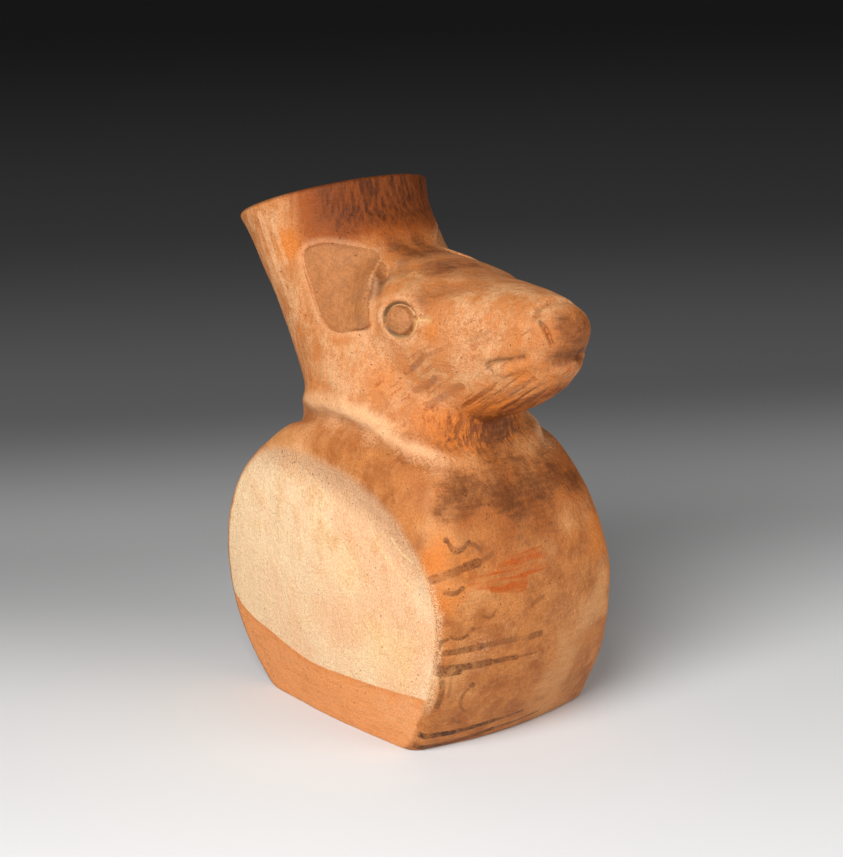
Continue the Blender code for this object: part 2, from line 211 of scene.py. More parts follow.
def pick(form, first, last):
    """Selects these points of a form, by number, and no others."""
    bpy.ops.mesh.select_all(action="DESELECT")
    clay = bmesh.from_edit_mesh(form.data)
    clay.verts.ensure_lookup_table()
    for vertex in clay.verts[first:last]:
        vertex.select = True
    clay.select_flush(True)
    bmesh.update_edit_mesh(form.data)


def skinned(name, sections, shape):
    """Circles set up one by one, each shaped as its section, bridged in pairs and capped."""
    nothing_selected()
    bpy.ops.object.add(type="MESH", location=(0, 0, 0))
    form = bpy.context.object
    form.name = name
    edit(form)
    for section in sections:
        bpy.ops.mesh.select_all(action="DESELECT")
        bpy.ops.mesh.primitive_circle_add(vertices=AROUND, radius=1, location=(0, 0, 0))
    clay = bmesh.from_edit_mesh(form.data)
    clay.verts.ensure_lookup_table()
    for i, section in enumerate(sections):
        places = shape(section)
        for j in range(AROUND):
            clay.verts[i * AROUND + j].co = places[j]
    bmesh.update_edit_mesh(form.data)
    last = len(sections) - 1
    for i in range(last):
        pick(form, i * AROUND, (i + 2) * AROUND)
        bpy.ops.mesh.bridge_edge_loops()
    for i in (0, last):
        pick(form, i * AROUND, (i + 1) * AROUND)
        bpy.ops.mesh.edge_face_add()
    bpy.ops.mesh.select_all(action="SELECT")
    bpy.ops.mesh.normals_make_consistent(inside=False)
    done()
    return form


def drum(inset):
    def shape(section):
        x, radius = section
        y = BODY_BACKSET + radius * np.cos(ROUND)
        z = BODY_CENTRE + radius * np.sin(ROUND)
        below = np.clip(1 - z / BODY_CENTRE, 0, None)
        return np.stack([x, y - FOOT_SHIFT * below**2, z], 1)

    return skinned("drum", drum_sections(inset), shape)


def neck_sections(inset, steps=24, above=0.0):
    """Centre, half width, half depth and tilt of the neck's sections, bottom to rim."""
    rise = SPOUT_HEIGHT - NECK_HEIGHT
    back = SPOUT_BACKSET - BODY_BACKSET
    half_width, half_depth, r = NECK_WIDTH / 2, NECK_DEPTH / 2, SPOUT_RADIUS
    rows = [
        (-0.38, 0.0, half_width * 0.94, half_depth * 0.96, 0.0),
        (-0.14, 0.0, half_width * 0.97, half_depth, 0.0),
        (0.0, 0.0, half_width, half_depth * 0.98, 0.1),
        (0.14, 0.05, half_width, half_depth * 0.91, 0.25),
        (0.3, 0.18, half_width, half_depth * 0.84, 0.45),
        (0.49, 0.38, r, r * 1.04, 0.65),
        (0.68, 0.65, r * 0.98, r * 0.92, 0.85),
        (0.85, 0.86, r * 0.97, r * 0.91, 1.0),
        (1.0, 1.0, r, r, 1.0),
    ]
    rows = np.array([
        (BODY_BACKSET + back * b, NECK_HEIGHT + rise * h, w, d, SPOUT_TILT * t)
        for h, b, w, d, t in rows
    ])
    sections = [
        (y, z, width - inset, depth - inset, tilt) for y, z, width, depth, tilt in spaced(rows, steps)
    ]
    if above:
        y, z, width, depth, tilt = sections[-1]
        step = above * LEAN
        sections.append((y + step.y, z + step.z, width, depth, tilt))
    return sections


def neck(inset, above):
    def shape(section):
        y, z, width, depth, tilt = section
        x = width * np.cos(ROUND)
        q = depth * np.sin(ROUND)
        return np.stack([x, y + q * math.cos(tilt), z - q * math.sin(tilt)], 1)

    return skinned("neck", neck_sections(inset, above=above), shape)


HEAD_SECTIONS = [
    (-0.3, 0.36, 0.25, -0.42),
    (0.0, 0.37, 0.205, -0.5),
    (0.2, 0.36, 0.18, -0.54),
    (0.4, 0.31, 0.16, -0.5),
    (0.58, 0.248, 0.155, -0.44),
    (0.72, 0.205, 0.153, -0.375),
    (0.82, 0.178, 0.142, -0.315),
    (0.89, 0.158, 0.115, -0.265),
    (0.935, 0.12, 0.06, -0.205),
    (0.955, 0.04, -0.02, -0.1),
]


def head(inset, steps=28):
    rows = np.array(HEAD_SECTIONS)

    def shape(section):
        place, width, top, bottom = section
        reach = min(place * HEAD_REACH, rows[-1, 0] * HEAD_REACH - inset)
        x = max(width * HEAD_REACH - inset, 0.0002) * np.cos(ROUND)
        up = max(top * HEAD_REACH - inset, 0.0002)
        down = max(-bottom * HEAD_REACH - inset, 0.0002)
        z = HEAD_HEIGHT + np.where(np.sin(ROUND) > 0, up, down) * np.sin(ROUND)
        return np.stack([x, -reach + 0 * ROUND, z], 1)

    return skinned("head", spaced(rows, steps), shape)


# Rounded lumps pressed onto the head: centre, then half sizes, in hundredths of its reach.
LUMPS = {
    "nose": ((0, -87.1, -0.9), (15.8, 12.9, 12.8)),
    "lower lip": ((0, -85.4, -14.4), (12.2, 13, 7.4)),
    "brow": ((22, -19, 4.2), (11.7, 17.5, 8.8)),
}


def on_head(place):
    """The point at a place that is given in hundredths of the head's reach."""
    return np.array(place) * HEAD_REACH / 100 + (0, 0, HEAD_HEIGHT)


def lumps():
    forms = []
    for name, (centre, half) in LUMPS.items():
        for side in (1, -1) if centre[0] else (1,):
            nothing_selected()
            place = on_head(centre) * (side, 1, 1)
            bpy.ops.mesh.primitive_ico_sphere_add(subdivisions=4, radius=1, location=place)
            form = bpy.context.object
            form.name = name
            form.scale = np.array(half) * HEAD_REACH / 100
            bpy.ops.object.transform_apply(location=True, rotation=True, scale=True)
            forms.append(form)
    return forms


def soft_places(points):
    """Where the forms flow into each other: the shoulders, the cheeks and the throat."""
    _, y, z = points.T
    collar = ramp(0.8, 0.95, z / NECK_HEIGHT)
    spout = 1 - ramp(0.9, 0.97, z / SPOUT_HEIGHT)
    muzzle = ramp(0.45, 0.8, -y / HEAD_REACH)
    return collar * spout * (1 - 0.85 * muzzle) + 0.02


def weighted(obj, name, weights):
    group = obj.vertex_groups.new(name=name)
    steps = np.round(np.clip(weights, 0, 1) * 60).astype(int)
    for step in np.unique(steps):
        group.add([int(i) for i in np.flatnonzero(steps == step)], step / 60, "REPLACE")
    return group


def moulded(name, inset, grain, above):
    """The whole of the jar's form, or of the hollow when inset by the wall."""
    forms = [drum(inset), neck(inset, above), head(inset)]
    if not inset:
        forms += lumps()
    clay = joined(forms)
    clay.name = name
    apply(clay, "REMESH", mode="VOXEL", voxel_size=grain)
    weighted(clay, "joins", soft_places(points_of(clay)))
    rounds = round((SOFTENING / grain) ** 2)
    apply(clay, "SMOOTH", vertex_group="joins", factor=0.5, iterations=rounds)
    apply(clay, "SMOOTH", factor=0.5, iterations=3)
    clay.vertex_groups.clear()
    return clay


# ---- the drawn features

EAR = [
    (36.6, -5.0, -4.5), (36.8, -4.4, -8.3), (38.4, 6.1, -11.3), (41.4, 13.4, -13),
    (42.5, 20.3, -10.4), (42.5, 26.9, -4), (41.7, 32.2, 4.3), (41, 38.8, 13.2), (39.7, 41, 20.8),
    (34.7, 32.5, 24.7), (28.7, 24.5, 23.9), (22.7, 18.6, 22.9), (21.6, 11.0, 19.5),
    (27.3, 4.4, 15.1), (32.9, -1.0, 9.6), (35.7, -4.2, 4.4),
]
EYE = (34.2, -22.1, -2.1)  # centre of the eye on the skin
EYE_OUT = (0.955, -0.28, 0.08)  # the way the eye looks
EYE_LONG = 1.16  # how much longer it is than high
EYE_RING = 7.5  # radius of the ring cut round the eye
EYE_BUTTON = 6.4  # radius of the raised eye itself
PUPIL = (33.8, -23.1, -1.7)  # centre of the dome on the eye
PUPIL_DOME = 5.9  # its radius
FURROWS = {  # name: (points, half width, depth)
    "tear": ([(32, -30, 0.3), (31.6, -34.2, 0), (30.3, -38.2, 0.1)], 1.3, 1.5),
    "before the ear": ([(21.0, 4.4, 19.6), (26.0, -0.6, 13.0), (31.4, -5.0, 6.5)], 3.0, 4.0),
    "beside the ear": ([(31.4, -5.6, 5.2), (34.5, -7.2, -1.5), (36.0, -7.0, -6)], 1.6, 0.9),
    "mouth": (
        [
            (19.1, -66.6, -19.5), (19.6, -64.6, -17.4), (20.2, -67, -14.9), (19, -71, -13.5),
            (17.2, -77, -12), (15.5, -82.8, -10.2),
        ],
        1.1, 1.6,
    ),
    "mouth end": ([(15.5, -82.8, -10.2), (14.8, -87, -7.4)], 1.4, 0.7),
    "mouth corner": ([(20, -65.2, -16.5), (19.4, -65.4, -18.2)], 1.3, 1.2),
    "beside the nose": (
        [(12.2, -88.8, 5.8), (12.9, -92.1, 3.9), (12.6, -93.9, 1.2), (11.2, -95.3, -3.6)], 1.0, 2.4,
    ),
    "deep beside the nose": ([(12.9, -92.1, 3.9), (12.3, -94.3, 0)], 1.0, 1.4),
    "above the nose": (
        [(0, -85.3, 13), (5.6, -85.2, 12.2), (9.4, -84.9, 10.1), (12.2, -86.2, 7.6)], 1.5, 2.2,
    ),
    "above the lip": ([(13.4, -86, 1), (16.2, -77, -3), (18.6, -66, -7), (21, -56, -8)], 3.0, 1.7),
    "under the lip": ([(20, -62, -24), (17.5, -72, -21), (14, -82, -19)], 2.8, 0.4),
    "stop": ([(18, -38, 12), (22, -34, 9), (25, -40, 3)], 6.0, 1.1),
}
STRIATIONS = [  # grooves drawn along the jaw and down the throat, in millimetres
    [(1, -71, 130.5), (3, -62, 124), (7, -52, 119.6), (8, -41, 114), (9, -34.3, 109), (11, -33, 104)],
    [(6, -68, 131), (8.4, -58, 125.5), (9.3, -49.3, 121), (10.5, -40.5, 117), (12, -32.8, 113)],
    [(0, -66, 127), (3, -56, 120.4), (5, -46, 115.5), (6, -38, 110), (7, -35, 105)],
    [(9.5, -62, 130.5), (11, -52, 125.4), (12.5, -42, 121), (14, -33, 116), (14.5, -30, 111)],
]
SWELLINGS = {  # likewise, raised instead
    "upper lip": ([(20, -64, -13.2), (18, -72, -9.8), (15.6, -82, -5.6)], 2.6, 1.7),
    "lower lip": ([(19, -68, -19.5), (16.5, -77, -17), (13.5, -88, -13)], 2.4, 1.0),
    "brow": ([(27, -3, 11), (30, -14, 9.5), (29.5, -21, 7.5)], 6.0, 1.2),
    "cheek": ([(29, -38, -17), (26, -46, -14)], 7.0, 1.2),
}
NECK_CREASE = [  # where the neck stands on the shoulders, in millimetres
    (0, 55, 98), (20, 49, 98.6), (28, 40, 101), (31.5, 28, 105.2), (34.1, 13.9, 107.6),
    (34.2, 4, 107.4), (33.9, -6.2, 105.9), (33.6, -17.1, 103), (31.8, -26, 101.2),
    (27.1, -33.3, 99.6), (20.5, -38.7, 98), (12, -41.5, 97.6), (0, -43, 97.4),
]
LEDGE = np.array(NECK_CREASE) * (0.985, 0.985, 1) + (0, 0, 5.4)  # the swelling above it
LIP_NOTCH = [(2.5, -74.4, 139.9), (5.4, -72.6, 139.6), (8.5, -69, 139.2)]  # on the far side
SHOULDER_LIP = [(33.3, -5.9, 107.5), (33, -11.1, 105.7), (33.1, -16.6, 104), (34.3, -22.4, 100.9)]
HAND = 0.75 * MM  # how uneven the hand left the skin


def away_from(points, line):
    """Distance of each point to a line of straight pieces."""
    best = np.full(len(points), np.inf)
    for a, b in zip(line, line[1:]):
        a, b = np.array(a, float), np.array(b, float)
        t = np.clip((points - a) @ (b - a) / ((b - a) @ (b - a)), 0, 1)
        best = np.minimum(best, np.linalg.norm(points - a - t[:, None] * (b - a), axis=1))
    return best


def near(points, line, width):
    """1 on a line, less and less away from it."""
    return np.exp(-((away_from(points, line) / width) ** 2))


def rounded(outline):
    """A closed outline with its corners rounded off."""
    for _ in range(2):
        line = []
        for a, b in zip(outline, outline[1:] + outline[:1]):
            a, b = np.array(a, float), np.array(b, float)
            line += [tuple(a * 0.75 + b * 0.25), tuple(a * 0.25 + b * 0.75)]
        outline = line
    return outline


def inside(points, outline):
    """Whether each point lies inside an outline, seen from the side."""
    y, z = points[:, 1], points[:, 2]
    within = np.zeros(len(points), bool)
    for (_, ay, az), (_, by, bz) in zip(outline, outline[1:] + outline[:1]):
        if az != bz:
            crosses = (az > z) != (bz > z)
            within ^= crosses & (y < ay + (z - az) * (by - ay) / (bz - az))
    return within


def folded(points):
    """Points in millimetres, the right side mirrored onto the left."""
    places = points / MM
    places[:, 0] = np.abs(places[:, 0])
    return places


def in_head(points):
    """Points in hundredths of the head's reach, the right side mirrored onto the left."""
    places = (points - (0, 0, HEAD_HEIGHT)) * 100 / HEAD_REACH
    places[:, 0] = np.abs(places[:, 0])
    return places


def ear_depth(places):
    """How far inside the ear's edge a place is, negative outside it."""
    ear = rounded(EAR)
    edge = away_from(places, ear + ear[:1])
    depth = np.where(inside(places, ear), edge, -edge)
    return np.where(places[:, 0] > 12, depth, -50)


def eye_distance(places, centre=EYE):
    """Distance from a centre on the eye, measured over its face."""
    out = np.array(EYE_OUT) / np.linalg.norm(EYE_OUT)
    ahead = np.cross((0, 0, 1), out)
    ahead = ahead / np.linalg.norm(ahead)
    offset = places - np.array(centre)
    across = np.hypot(offset @ ahead / EYE_LONG, offset @ np.cross(out, ahead))
    across[np.abs(offset @ out) > 10] = 100
    return across


def drawn(places):
    """How far the drawn features move each point of the head outward, inward where negative."""
    move = np.zeros(len(places))
    for line, half_width, depth in FURROWS.values():
        move -= depth * near(places, line, half_width)
    for line, half_width, height in SWELLINGS.values():
        move += height * near(places, line, half_width)
    depth = ear_depth(places)
    front = ramp(22, -2, places[:, 1])
    top = ramp(14, 24, places[:, 2]) * ramp(40, 26, places[:, 1])
    raised = np.maximum(front, 0.4 * top)
    move += 2.5 * raised * ramp(-0.9, 1.4, depth) * ramp(16, 2, depth)
    move -= 1.3 * (1 - raised) * ramp(-0.4, 0.45, depth) * ramp(14, 1, depth)
    move += 0.2 * (1 - raised) * np.exp(-(((depth + 2.2) / 1.7) ** 2))
    across = eye_distance(places)
    move -= 2.7 * np.exp(-(((across - EYE_RING) / 1.0) ** 2))
    move += 0.3 * np.exp(-(((across - EYE_RING - 2.4) / 1.4) ** 2))
    move += 0.5 * ramp(EYE_BUTTON + 0.4, EYE_BUTTON - 0.9, across)
    pupil = eye_distance(places, PUPIL)
    move += 1.3 * np.sqrt(np.clip(1 - (pupil / PUPIL_DOME) ** 2, 0, 1))
    return move * HEAD_REACH / 100


def beside_throat(places):
    """1 at the sides of the neck, 0 at the middle of the throat."""
    return np.maximum(ramp(14, 28, places[:, 0]), ramp(-36, -22, places[:, 1]))


def creased(points):
    """How far the neck's foot and the shoulders below it are moved outward."""
    places = folded(points)
    move = -1.9 * near(places, NECK_CREASE, 2.5) + 1.8 * near(places, LEDGE, 3.6)
    move *= beside_throat(places)
    move -= 0.45 * near(places, SHOULDER_LIP, 0.7)
    move -= 1.6 * near(points / MM, LIP_NOTCH, 1.1)
    for line in STRIATIONS:
        move -= 0.3 * near(places, line, 0.8)
    return move * MM


def refined(obj, chosen):
    """Finer clay where the features are drawn."""
    edit(obj)
    clay = bmesh.from_edit_mesh(obj.data)
    for vertex, wanted in zip(clay.verts, chosen):
        vertex.select = bool(wanted)
    clay.select_flush(True)
    bmesh.update_edit_mesh(obj.data)
    bpy.ops.mesh.subdivide(number_cuts=1)
    done()


def carved(obj):
    places = in_head(points_of(obj))
    close = eye_distance(places) < 11
    for line, half_width, depth in FURROWS.values():
        close |= (away_from(places, line) < half_width + 1.6) & (half_width < 2)
    close |= (ear_depth(places) < 2.2) & (ear_depth(places) > -3.5)
    for line in STRIATIONS:
        close |= away_from(folded(points_of(obj)), line) < 1.6
    refined(obj, close)
    places = in_head(points_of(obj))
    depth = ear_depth(places)
    edge = (np.abs(depth) < 1.3) & (places[:, 2] < 16)
    notch = away_from(points_of(obj) / MM, LIP_NOTCH) < 3
    refined(obj, (eye_distance(places) < 9.0) | edge | notch)
    points = points_of(obj)
    move = drawn(in_head(points)) + creased(points)
    move_to(obj, points + outward(obj) * move[:, None])
    apply(obj, "SMOOTH", factor=0.4, iterations=1)
    depth = ear_depth(in_head(points))
    weighted(obj, "ear edge", ramp(4.5, 2, np.abs(depth)) * ramp(20, 8, in_head(points)[:, 1]))
    apply(obj, "SMOOTH", vertex_group="ear edge", factor=0.5, iterations=4)
    obj.vertex_groups.clear()


def handled(obj):
    """The slight unevenness of a form built up and smoothed by hand."""
    for size, depth in ((22, HAND), (8, 0.35 * HAND)):
        cloud = bpy.data.textures.new("hand", "CLOUDS")
        cloud.noise_scale = size * MM
        cloud.noise_depth = 1
        apply(obj, "DISPLACE", texture=cloud, strength=depth, mid_level=0.5, texture_coords="LOCAL")


# ---- marks kept on the clay

def blots(points, spots):
    """Soft round washes on both sides: place and reach in millimetres, then strength."""
    share = np.ones(len(points))
    places = folded(points)
    for x, y, z, reach, strength in spots:
        gap = np.linalg.norm(places - (x, y, z), axis=1)
        share *= 1 - strength * np.exp(-((gap / reach) ** 2))
    return 1 - share


# Places are (side, back, up, reach) in millimetres and a strength.
WASHES = {
    "brown wash": [
        (3, 3, 164, 9, 0.75), (2, -14, 162, 9, 0.55), (0, -28, 160, 8, 0.4), (6, 11, 168, 8, 0.7),
        (22, -25, 154, 7, 0.6), (15, -28, 158, 6, 0.5), (8, -36, 158, 6, 0.4),
        (10, -18, 163, 6, 0.5), (7, -75, 150, 5, 0.5), (23, -34, 149, 5, 0.25),
        (0, -77, 149, 7, 0.75), (4, -74, 154, 5, 0.5), (2, -74, 141, 6, 0.75),
        (8, -72, 140, 5, 0.5), (0, -67, 129, 7, 0.7), (0, -56, 121, 9, 0.8), (2, -46, 114, 9, 0.85),
        (3, -36, 107, 10, 0.9), (2, -53, 76, 11, 0.55), (12, -53, 74, 8, 0.45),
        (14, -31, 107, 7, 0.65), (36, -2, 103, 8, 0.35), (37, 14, 102, 7, 0.3),
        (30, -37, 95, 7, 0.35), (35, -28, 97, 7, 0.35), (22, -39, 97, 7, 0.4),
        (15, -46, 92, 9, 0.5), (3, -46, 93, 11, 0.6), (25, -46, 85, 8, 0.85), (31, -43, 86, 7, 0.5),
        (5, -49, 86, 10, 0.6), (19, -44, 93, 7, 0.5), (20, 0, 172, 7, 0.2),
    ],
    "orange wash": [
        (32, 37, 165, 7, 0.75), (31, 30, 172, 6, 0.35), (36, -49, 78, 7, 0.4),
        (40, -50, 71, 7, 0.7), (40, -50, 58, 9, 0.6), (40, -47, 46, 8, 0.3), (31, -42, 91, 6, 0.3),
        (22, -30, 144, 5, 0.6), (11, -62, 134, 6, 0.55), (9, -50, 121, 8, 0.5),
        (38, 48, 84, 9, 0.6), (12, -40, 117, 8, 0.6), (13, -31, 110, 7, 0.4),
        (34, 29, 120, 10, 0.35), (28, -9, 124, 10, 0.45), (20, -26, 112, 9, 0.55),
        (33, 20, 113, 8, 0.4), (28, -56, 67, 9, 0.35), (14, -55, 70, 9, 0.35),
        (12, -7, 162, 7, 0.4),
    ],
    "pale haze": [
        (29, -26, 104, 6, 0.85), (33, -9, 107, 6, 0.85), (35, 11, 109, 6, 0.75),
        (25, -36, 100, 6, 0.75), (14, -40, 99, 5, 0.35), (34, 4, 120, 9, 0.55),
        (27, -9, 134, 8, 0.55), (20, -44, 134, 9, 0.6), (20, -39, 147, 8, 0.5),
        (31, -14, 137, 6, 0.45), (34, 12, 128, 8, 0.5), (18, -30, 119, 6, 0.7),
        (14, -48, 150, 8, 0.4), (33, 41, 152, 7, 0.3), (40, 22, 95, 5, 0.6), (27, 0, 140, 5, 0.5),
        (33, 30, 145, 8, 0.35), (16, -57, 146, 6, 0.35), (25, -58, 40, 8, 0.4),
        (12, -58, 45, 9, 0.3),
    ],
    # Grey washes: painted shade in the hollows before and above the ear and by the brow, with some
    # grey smudging
    "grey smudge and shade": [
        (25, 18, 165, 7, 0.35), (22, -3, 158, 6, 0.55), (26, -1, 152, 5, 0.6),
        (20, -22, 157, 5, 0.35), (17, 8, 167, 6, 0.45),
    ],
    "yellow haze": [
        (41, -30, 34, 15, 0.8), (44, -8, 58, 15, 0.6), (44, 8, 72, 10, 0.5), (42, 42, 62, 12, 0.4),
        (44, 20, 40, 12, 0.3),
    ],
    "throat": [
        (3, -66, 128, 7, 0.8), (6, -57, 123, 9, 0.95), (9, -47, 118, 9, 0.95),
        (10, -39, 112, 9, 0.95), (11, -33, 106, 8, 0.9), (14, -60, 130, 5, 0.6),
        (17, -30, 106, 7, 0.6),
    ],
}
SLIP_LINE = [  # edge of the orange slip on the flat sides: back, up
    (-47, 21.4), (-41.3, 21.2), (-27.9, 20.3), (-9.7, 19.5), (10.3, 18.9), (24.9, 20.6),
    (36.7, 22.9), (51.4, 25.5), (65, 31.6), (75, 37),
]


def into_flat(points):
    """How far a point lies inside the edge of a flat side, negative on the band."""
    y = points[:, 1] - BODY_BACKSET
    z = points[:, 2] - BODY_CENTRE
    below = np.clip(1 - points[:, 2] / BODY_CENTRE, 0, None)
    y = y + FOOT_SHIFT * below**2
    degrees = np.degrees(np.arctan2(z, y)) % 360
    half = BODY_WIDTH / 2
    radius = np.hypot(y, z)
    edge = BODY_RADIUS * through(DRUM_OUTLINE, degrees)
    flat = np.minimum(BODY_RADIUS * through(FLAT_OUTLINE, degrees), edge - EDGE_ROUND)
    beyond = np.hypot(np.maximum(radius - flat, 0), np.maximum(half - np.abs(points[:, 0]), 0))
    return np.where(beyond > 0.1 * MM, -beyond, flat - radius)


def note(obj, name, values):
    """Keeps a number for each point of the clay, for the finish to read."""
    kept = obj.data.attributes.new(name, "FLOAT", "POINT")
    kept.data.foreach_set("value", np.ascontiguousarray(values, np.float32))


def marked(obj, inner_from):
    points = points_of(obj)
    places = in_head(points)
    unit = HEAD_REACH / 100
    for name, spots in WASHES.items():
        note(obj, name, blots(points, spots))
    note(obj, "into flat", into_flat(points) / MM)
    note(obj, "above slip", points[:, 2] / MM - through(SLIP_LINE, points[:, 1] / MM))
    note(obj, "into ear", ear_depth(places) * unit / MM)
    note(obj, "from eye", eye_distance(places) * unit / MM)
    note(obj, "tear", near(places, FURROWS["tear"][0], 1.3))
    # Where painted shade darkens the carved creases of the face
    cuts = (("mouth", 1.0, 0.8), ("beside the nose", 0.9, 1.0), ("above the nose", 1.1, 0.6),
            ("before the ear", 2.2, 0.75))
    dark = [near(places, FURROWS[name][0], width) * share for name, width, share in cuts]
    note(obj, "creases", np.maximum.reduce(dark))
    sides = folded(points)
    aside = beside_throat(sides)
    # Where painted shade darkens the crease at the foot of the neck
    note(obj, "crease", near(sides, NECK_CREASE, 2.2) * aside)
    # Where the ledge above the neck's foot is painted pale, partly pale clay and partly a painted
    # highlight
    note(obj, "ledge", near(sides, LEDGE, 4.5) * ramp(40, 20, sides[:, 1]) * aside)
    arms = points - np.array(RIM)
    depth = -arms @ np.array(LEAN)
    across = arms + depth[:, None] * np.array(LEAN)
    note(obj, "below rim", depth / MM)
    note(obj, "round spout", np.degrees(np.arctan2(np.abs(across[:, 0]), -across[:, 1])))
    note(obj, "spout", ramp(150, 160, points[:, 2] / MM))
    note(obj, "head", ramp(97, 112, points[:, 2] / MM + 0.12 * points[:, 1] / MM))
    within = np.zeros(len(points))
    within[inner_from] = 1
    note(obj, "inside", within)


# ---- the finish

def tint(red, green, blue):
    """A colour of the clay, from its 0 to 255 shades."""
    shades = np.array([red, green, blue]) / 255
    linear = np.where(shades <= 0.04045, shades / 12.92, ((shades + 0.055) / 1.055) ** 2.4)
    return (*linear, 1)


CREAM = tint(223, 189, 149)
YELLOW_CREAM = tint(228, 194, 138)
PINK_CREAM = tint(221, 175, 134)
EDGE_CREAM = tint(180, 136, 100)
WHITE_CREAM = tint(226, 196, 156)
LEDGE_CREAM = tint(222, 174, 128)
ORANGE_SLIP = tint(214, 140, 84)
TAN = tint(186, 118, 62)
PALE_TAN = tint(202, 142, 88)
DEEP_TAN = tint(158, 92, 44)
NECK_TAN = tint(184, 118, 68)
NECK_PALE = tint(200, 148, 102)
SPOUT_TAN = tint(140, 68, 18)
OCHRE = tint(198, 112, 42)
BROWN = tint(88, 42, 12)
WARM_BROWN = tint(150, 78, 28)
RIM_BROWN = tint(62, 27, 5)
RIM_TAN = tint(120, 58, 16)
# Pale pink for the haze, the stripes and the eye's ring, and for a painted highlight round the ear's
# edge
PINK_HAZE_AND_HIGHLIGHT = tint(214, 160, 116)
EAR_TAN = tint(158, 102, 60)
GREY = tint(118, 88, 66)
DARK_PAINT = tint(70, 32, 12)
BLACK_PAINT = tint(50, 30, 20)
CHEEK_PAINT = tint(112, 58, 34)
RED_PAINT = tint(172, 74, 10)
DEPOSIT = tint(206, 172, 116)
# Dark brown for specks and pits, and for painted shade in the ear's edge, the eye's groove and the
# creases of the face
DIRT_AND_SHADE = tint(76, 48, 28)
INNER_CLAY = tint(150, 96, 60)

GRIT_DARK, GRIT_PALE = (0.27, 0.24, 0.22, 1), (0.74, 0.72, 0.7, 1)
BAND_RADIUS = 65.0  # of the band, for places up its curve
# Brush strokes on the band. Places are across and up its curve from the drum's middle, then how
# far the stroke bows, its half width and its strength, all in millimetres but the last.
DARK_STROKES = [
    (-33.4, 32.4, -26.7, 29.6, -3.4, 1.15, 0.9), (-27.3, 29.3, -22.6, 26.5, 0.5, 0.85, 0.7),
    (-40.2, 20.2, -31.2, 21.6, 0.2, 1.55, 0.75), (-29.2, 22.1, -24.4, 22.6, 0, 1.6, 0.9),
    (-24.2, 22.8, -18.4, 24.4, -0.5, 0.9, 0.6), (-37.2, 15.2, -31.4, 15.4, -0.9, 0.95, 0.75),
    (-3.9, 4.4, 0.8, 6, 0.2, 0.9, 0.5), (-24.2, 4.6, -19.6, 5.6, -1.5, 0.65, 0.6),
    (-28.6, 0.8, -28.3, 0.8, 0, 0.8, 0.7), (-36.3, -0.7, -30.6, -1.1, -0.9, 0.75, 0.8),
    (-39.8, -5, -37.6, -1.6, 0.8, 0.7, 0.75), (-37.6, -6.7, -25, -6.1, 0, 1.25, 0.85),
    (-25, -6.1, -11, -5.9, 0.2, 1.15, 0.6), (-11, -5.9, -5, -6.4, 0, 0.9, 0.25),
    (-4.8, -6.5, 0.2, -6.4, 0, 1.2, 0.65), (-39.2, -12.9, -21, -12.6, 0, 1.45, 0.95),
    (-39.4, -15.2, -32.6, -14.4, 0, 1.2, 0.95), (-21, -12.6, -10, -12.7, 0.2, 1, 0.85),
    (-10, -12.7, -1, -12.9, 0, 0.5, 0.6), (-38.1, -17, -37.7, -28.8, 0.5, 0.95, 0.75),
    (-35.3, -15.6, -34.7, -24, 0, 0.65, 0.4), (-26.9, -20.2, -26.6, -20.4, 0, 1.1, 0.9),
    (-28, -21.9, -27.2, -31, -2.1, 0.75, 0.55), (-30.2, -34.4, -26.9, -36.7, -0.5, 0.75, 0.5),
]
FOOT_STROKES = [
    (-41, -43, -25.2, -41, 0.3, 1.25, 1), (-25.2, -41, -11.3, -38.5, 0, 1.05, 0.9),
    (-11.3, -38.5, 0.6, -37.6, 0, 0.75, 0.75), (-40.5, -48.3, -27.9, -47.4, 0, 1.35, 1),
    (-27.9, -47.4, -10.4, -43.1, 0.3, 1, 0.95), (-10.4, -43.1, 11, -41.9, 0.2, 0.5, 0.8),
]
RED_STROKES = [
    (-26.8, 16.6, -19, 15, 0, 2.6, 0.8), (-19, 15, -9, 13, 0, 3.6, 1),
    (-14, 18, 1, 18.8, 0, 4, 0.9), (0, 18, 8, 17.8, 0, 3.4, 0.6), (11, 14, 15, 8, 0, 2.6, 0.35),
    (20, 34, 33, 26, 0, 5, 0.35),
]
# Strokes on the head and scratches on the flat sides, likewise, by back and up.
CHEEK_STROKES = [
    (-17.1, 128, -27.2, 135.8, 0.6, 1.1, 0.7), (-27.2, 135.8, -37.2, 140.7, 0.4, 0.8, 0.5),
    (-19.9, 121.9, -29, 127.7, 0.5, 1.1, 0.7), (-24.4, 117, -38.4, 126.1, -0.6, 1.2, 0.6),
    (-44.6, 143.4, -52.1, 147.8, 0.3, 0.7, 0.4), (-22, 134, -30, 139.6, 0, 0.6, 0.4),
    (-70.2, 129.8, -52.1, 120.6, -0.8, 1.1, 0.8), (-52.1, 120.6, -34, 108.6, -1, 1.2, 0.8),
    (-66, 133, -46, 121.5, -0.6, 0.8, 0.55), (-46, 121.5, -33, 112, -0.6, 0.9, 0.55),
    (-8, 162.2, -18, 160.8, 0.4, 0.8, 0.6), (2, 163.4, -9, 159.8, 0.5, 0.8, 0.5),
]
PALE_SCRATCHES = [
    (13.1, 82.5, 7.1, 77.2, 0.3, 0.55, 0.8), (5.7, 82.3, 7.1, 77.2, 0, 0.5, 0.6),
    (18.3, 88.4, -11.9, 77.5, 0.8, 0.45, 0.5), (-19.8, 76.6, -41.8, 60.2, 1.6, 0.5, 0.7),
    (-30.4, 75.4, -40.6, 69.4, 0.8, 0.5, 0.8), (34, 82, 52, 66, 1.5, 0.5, 0.4),
]
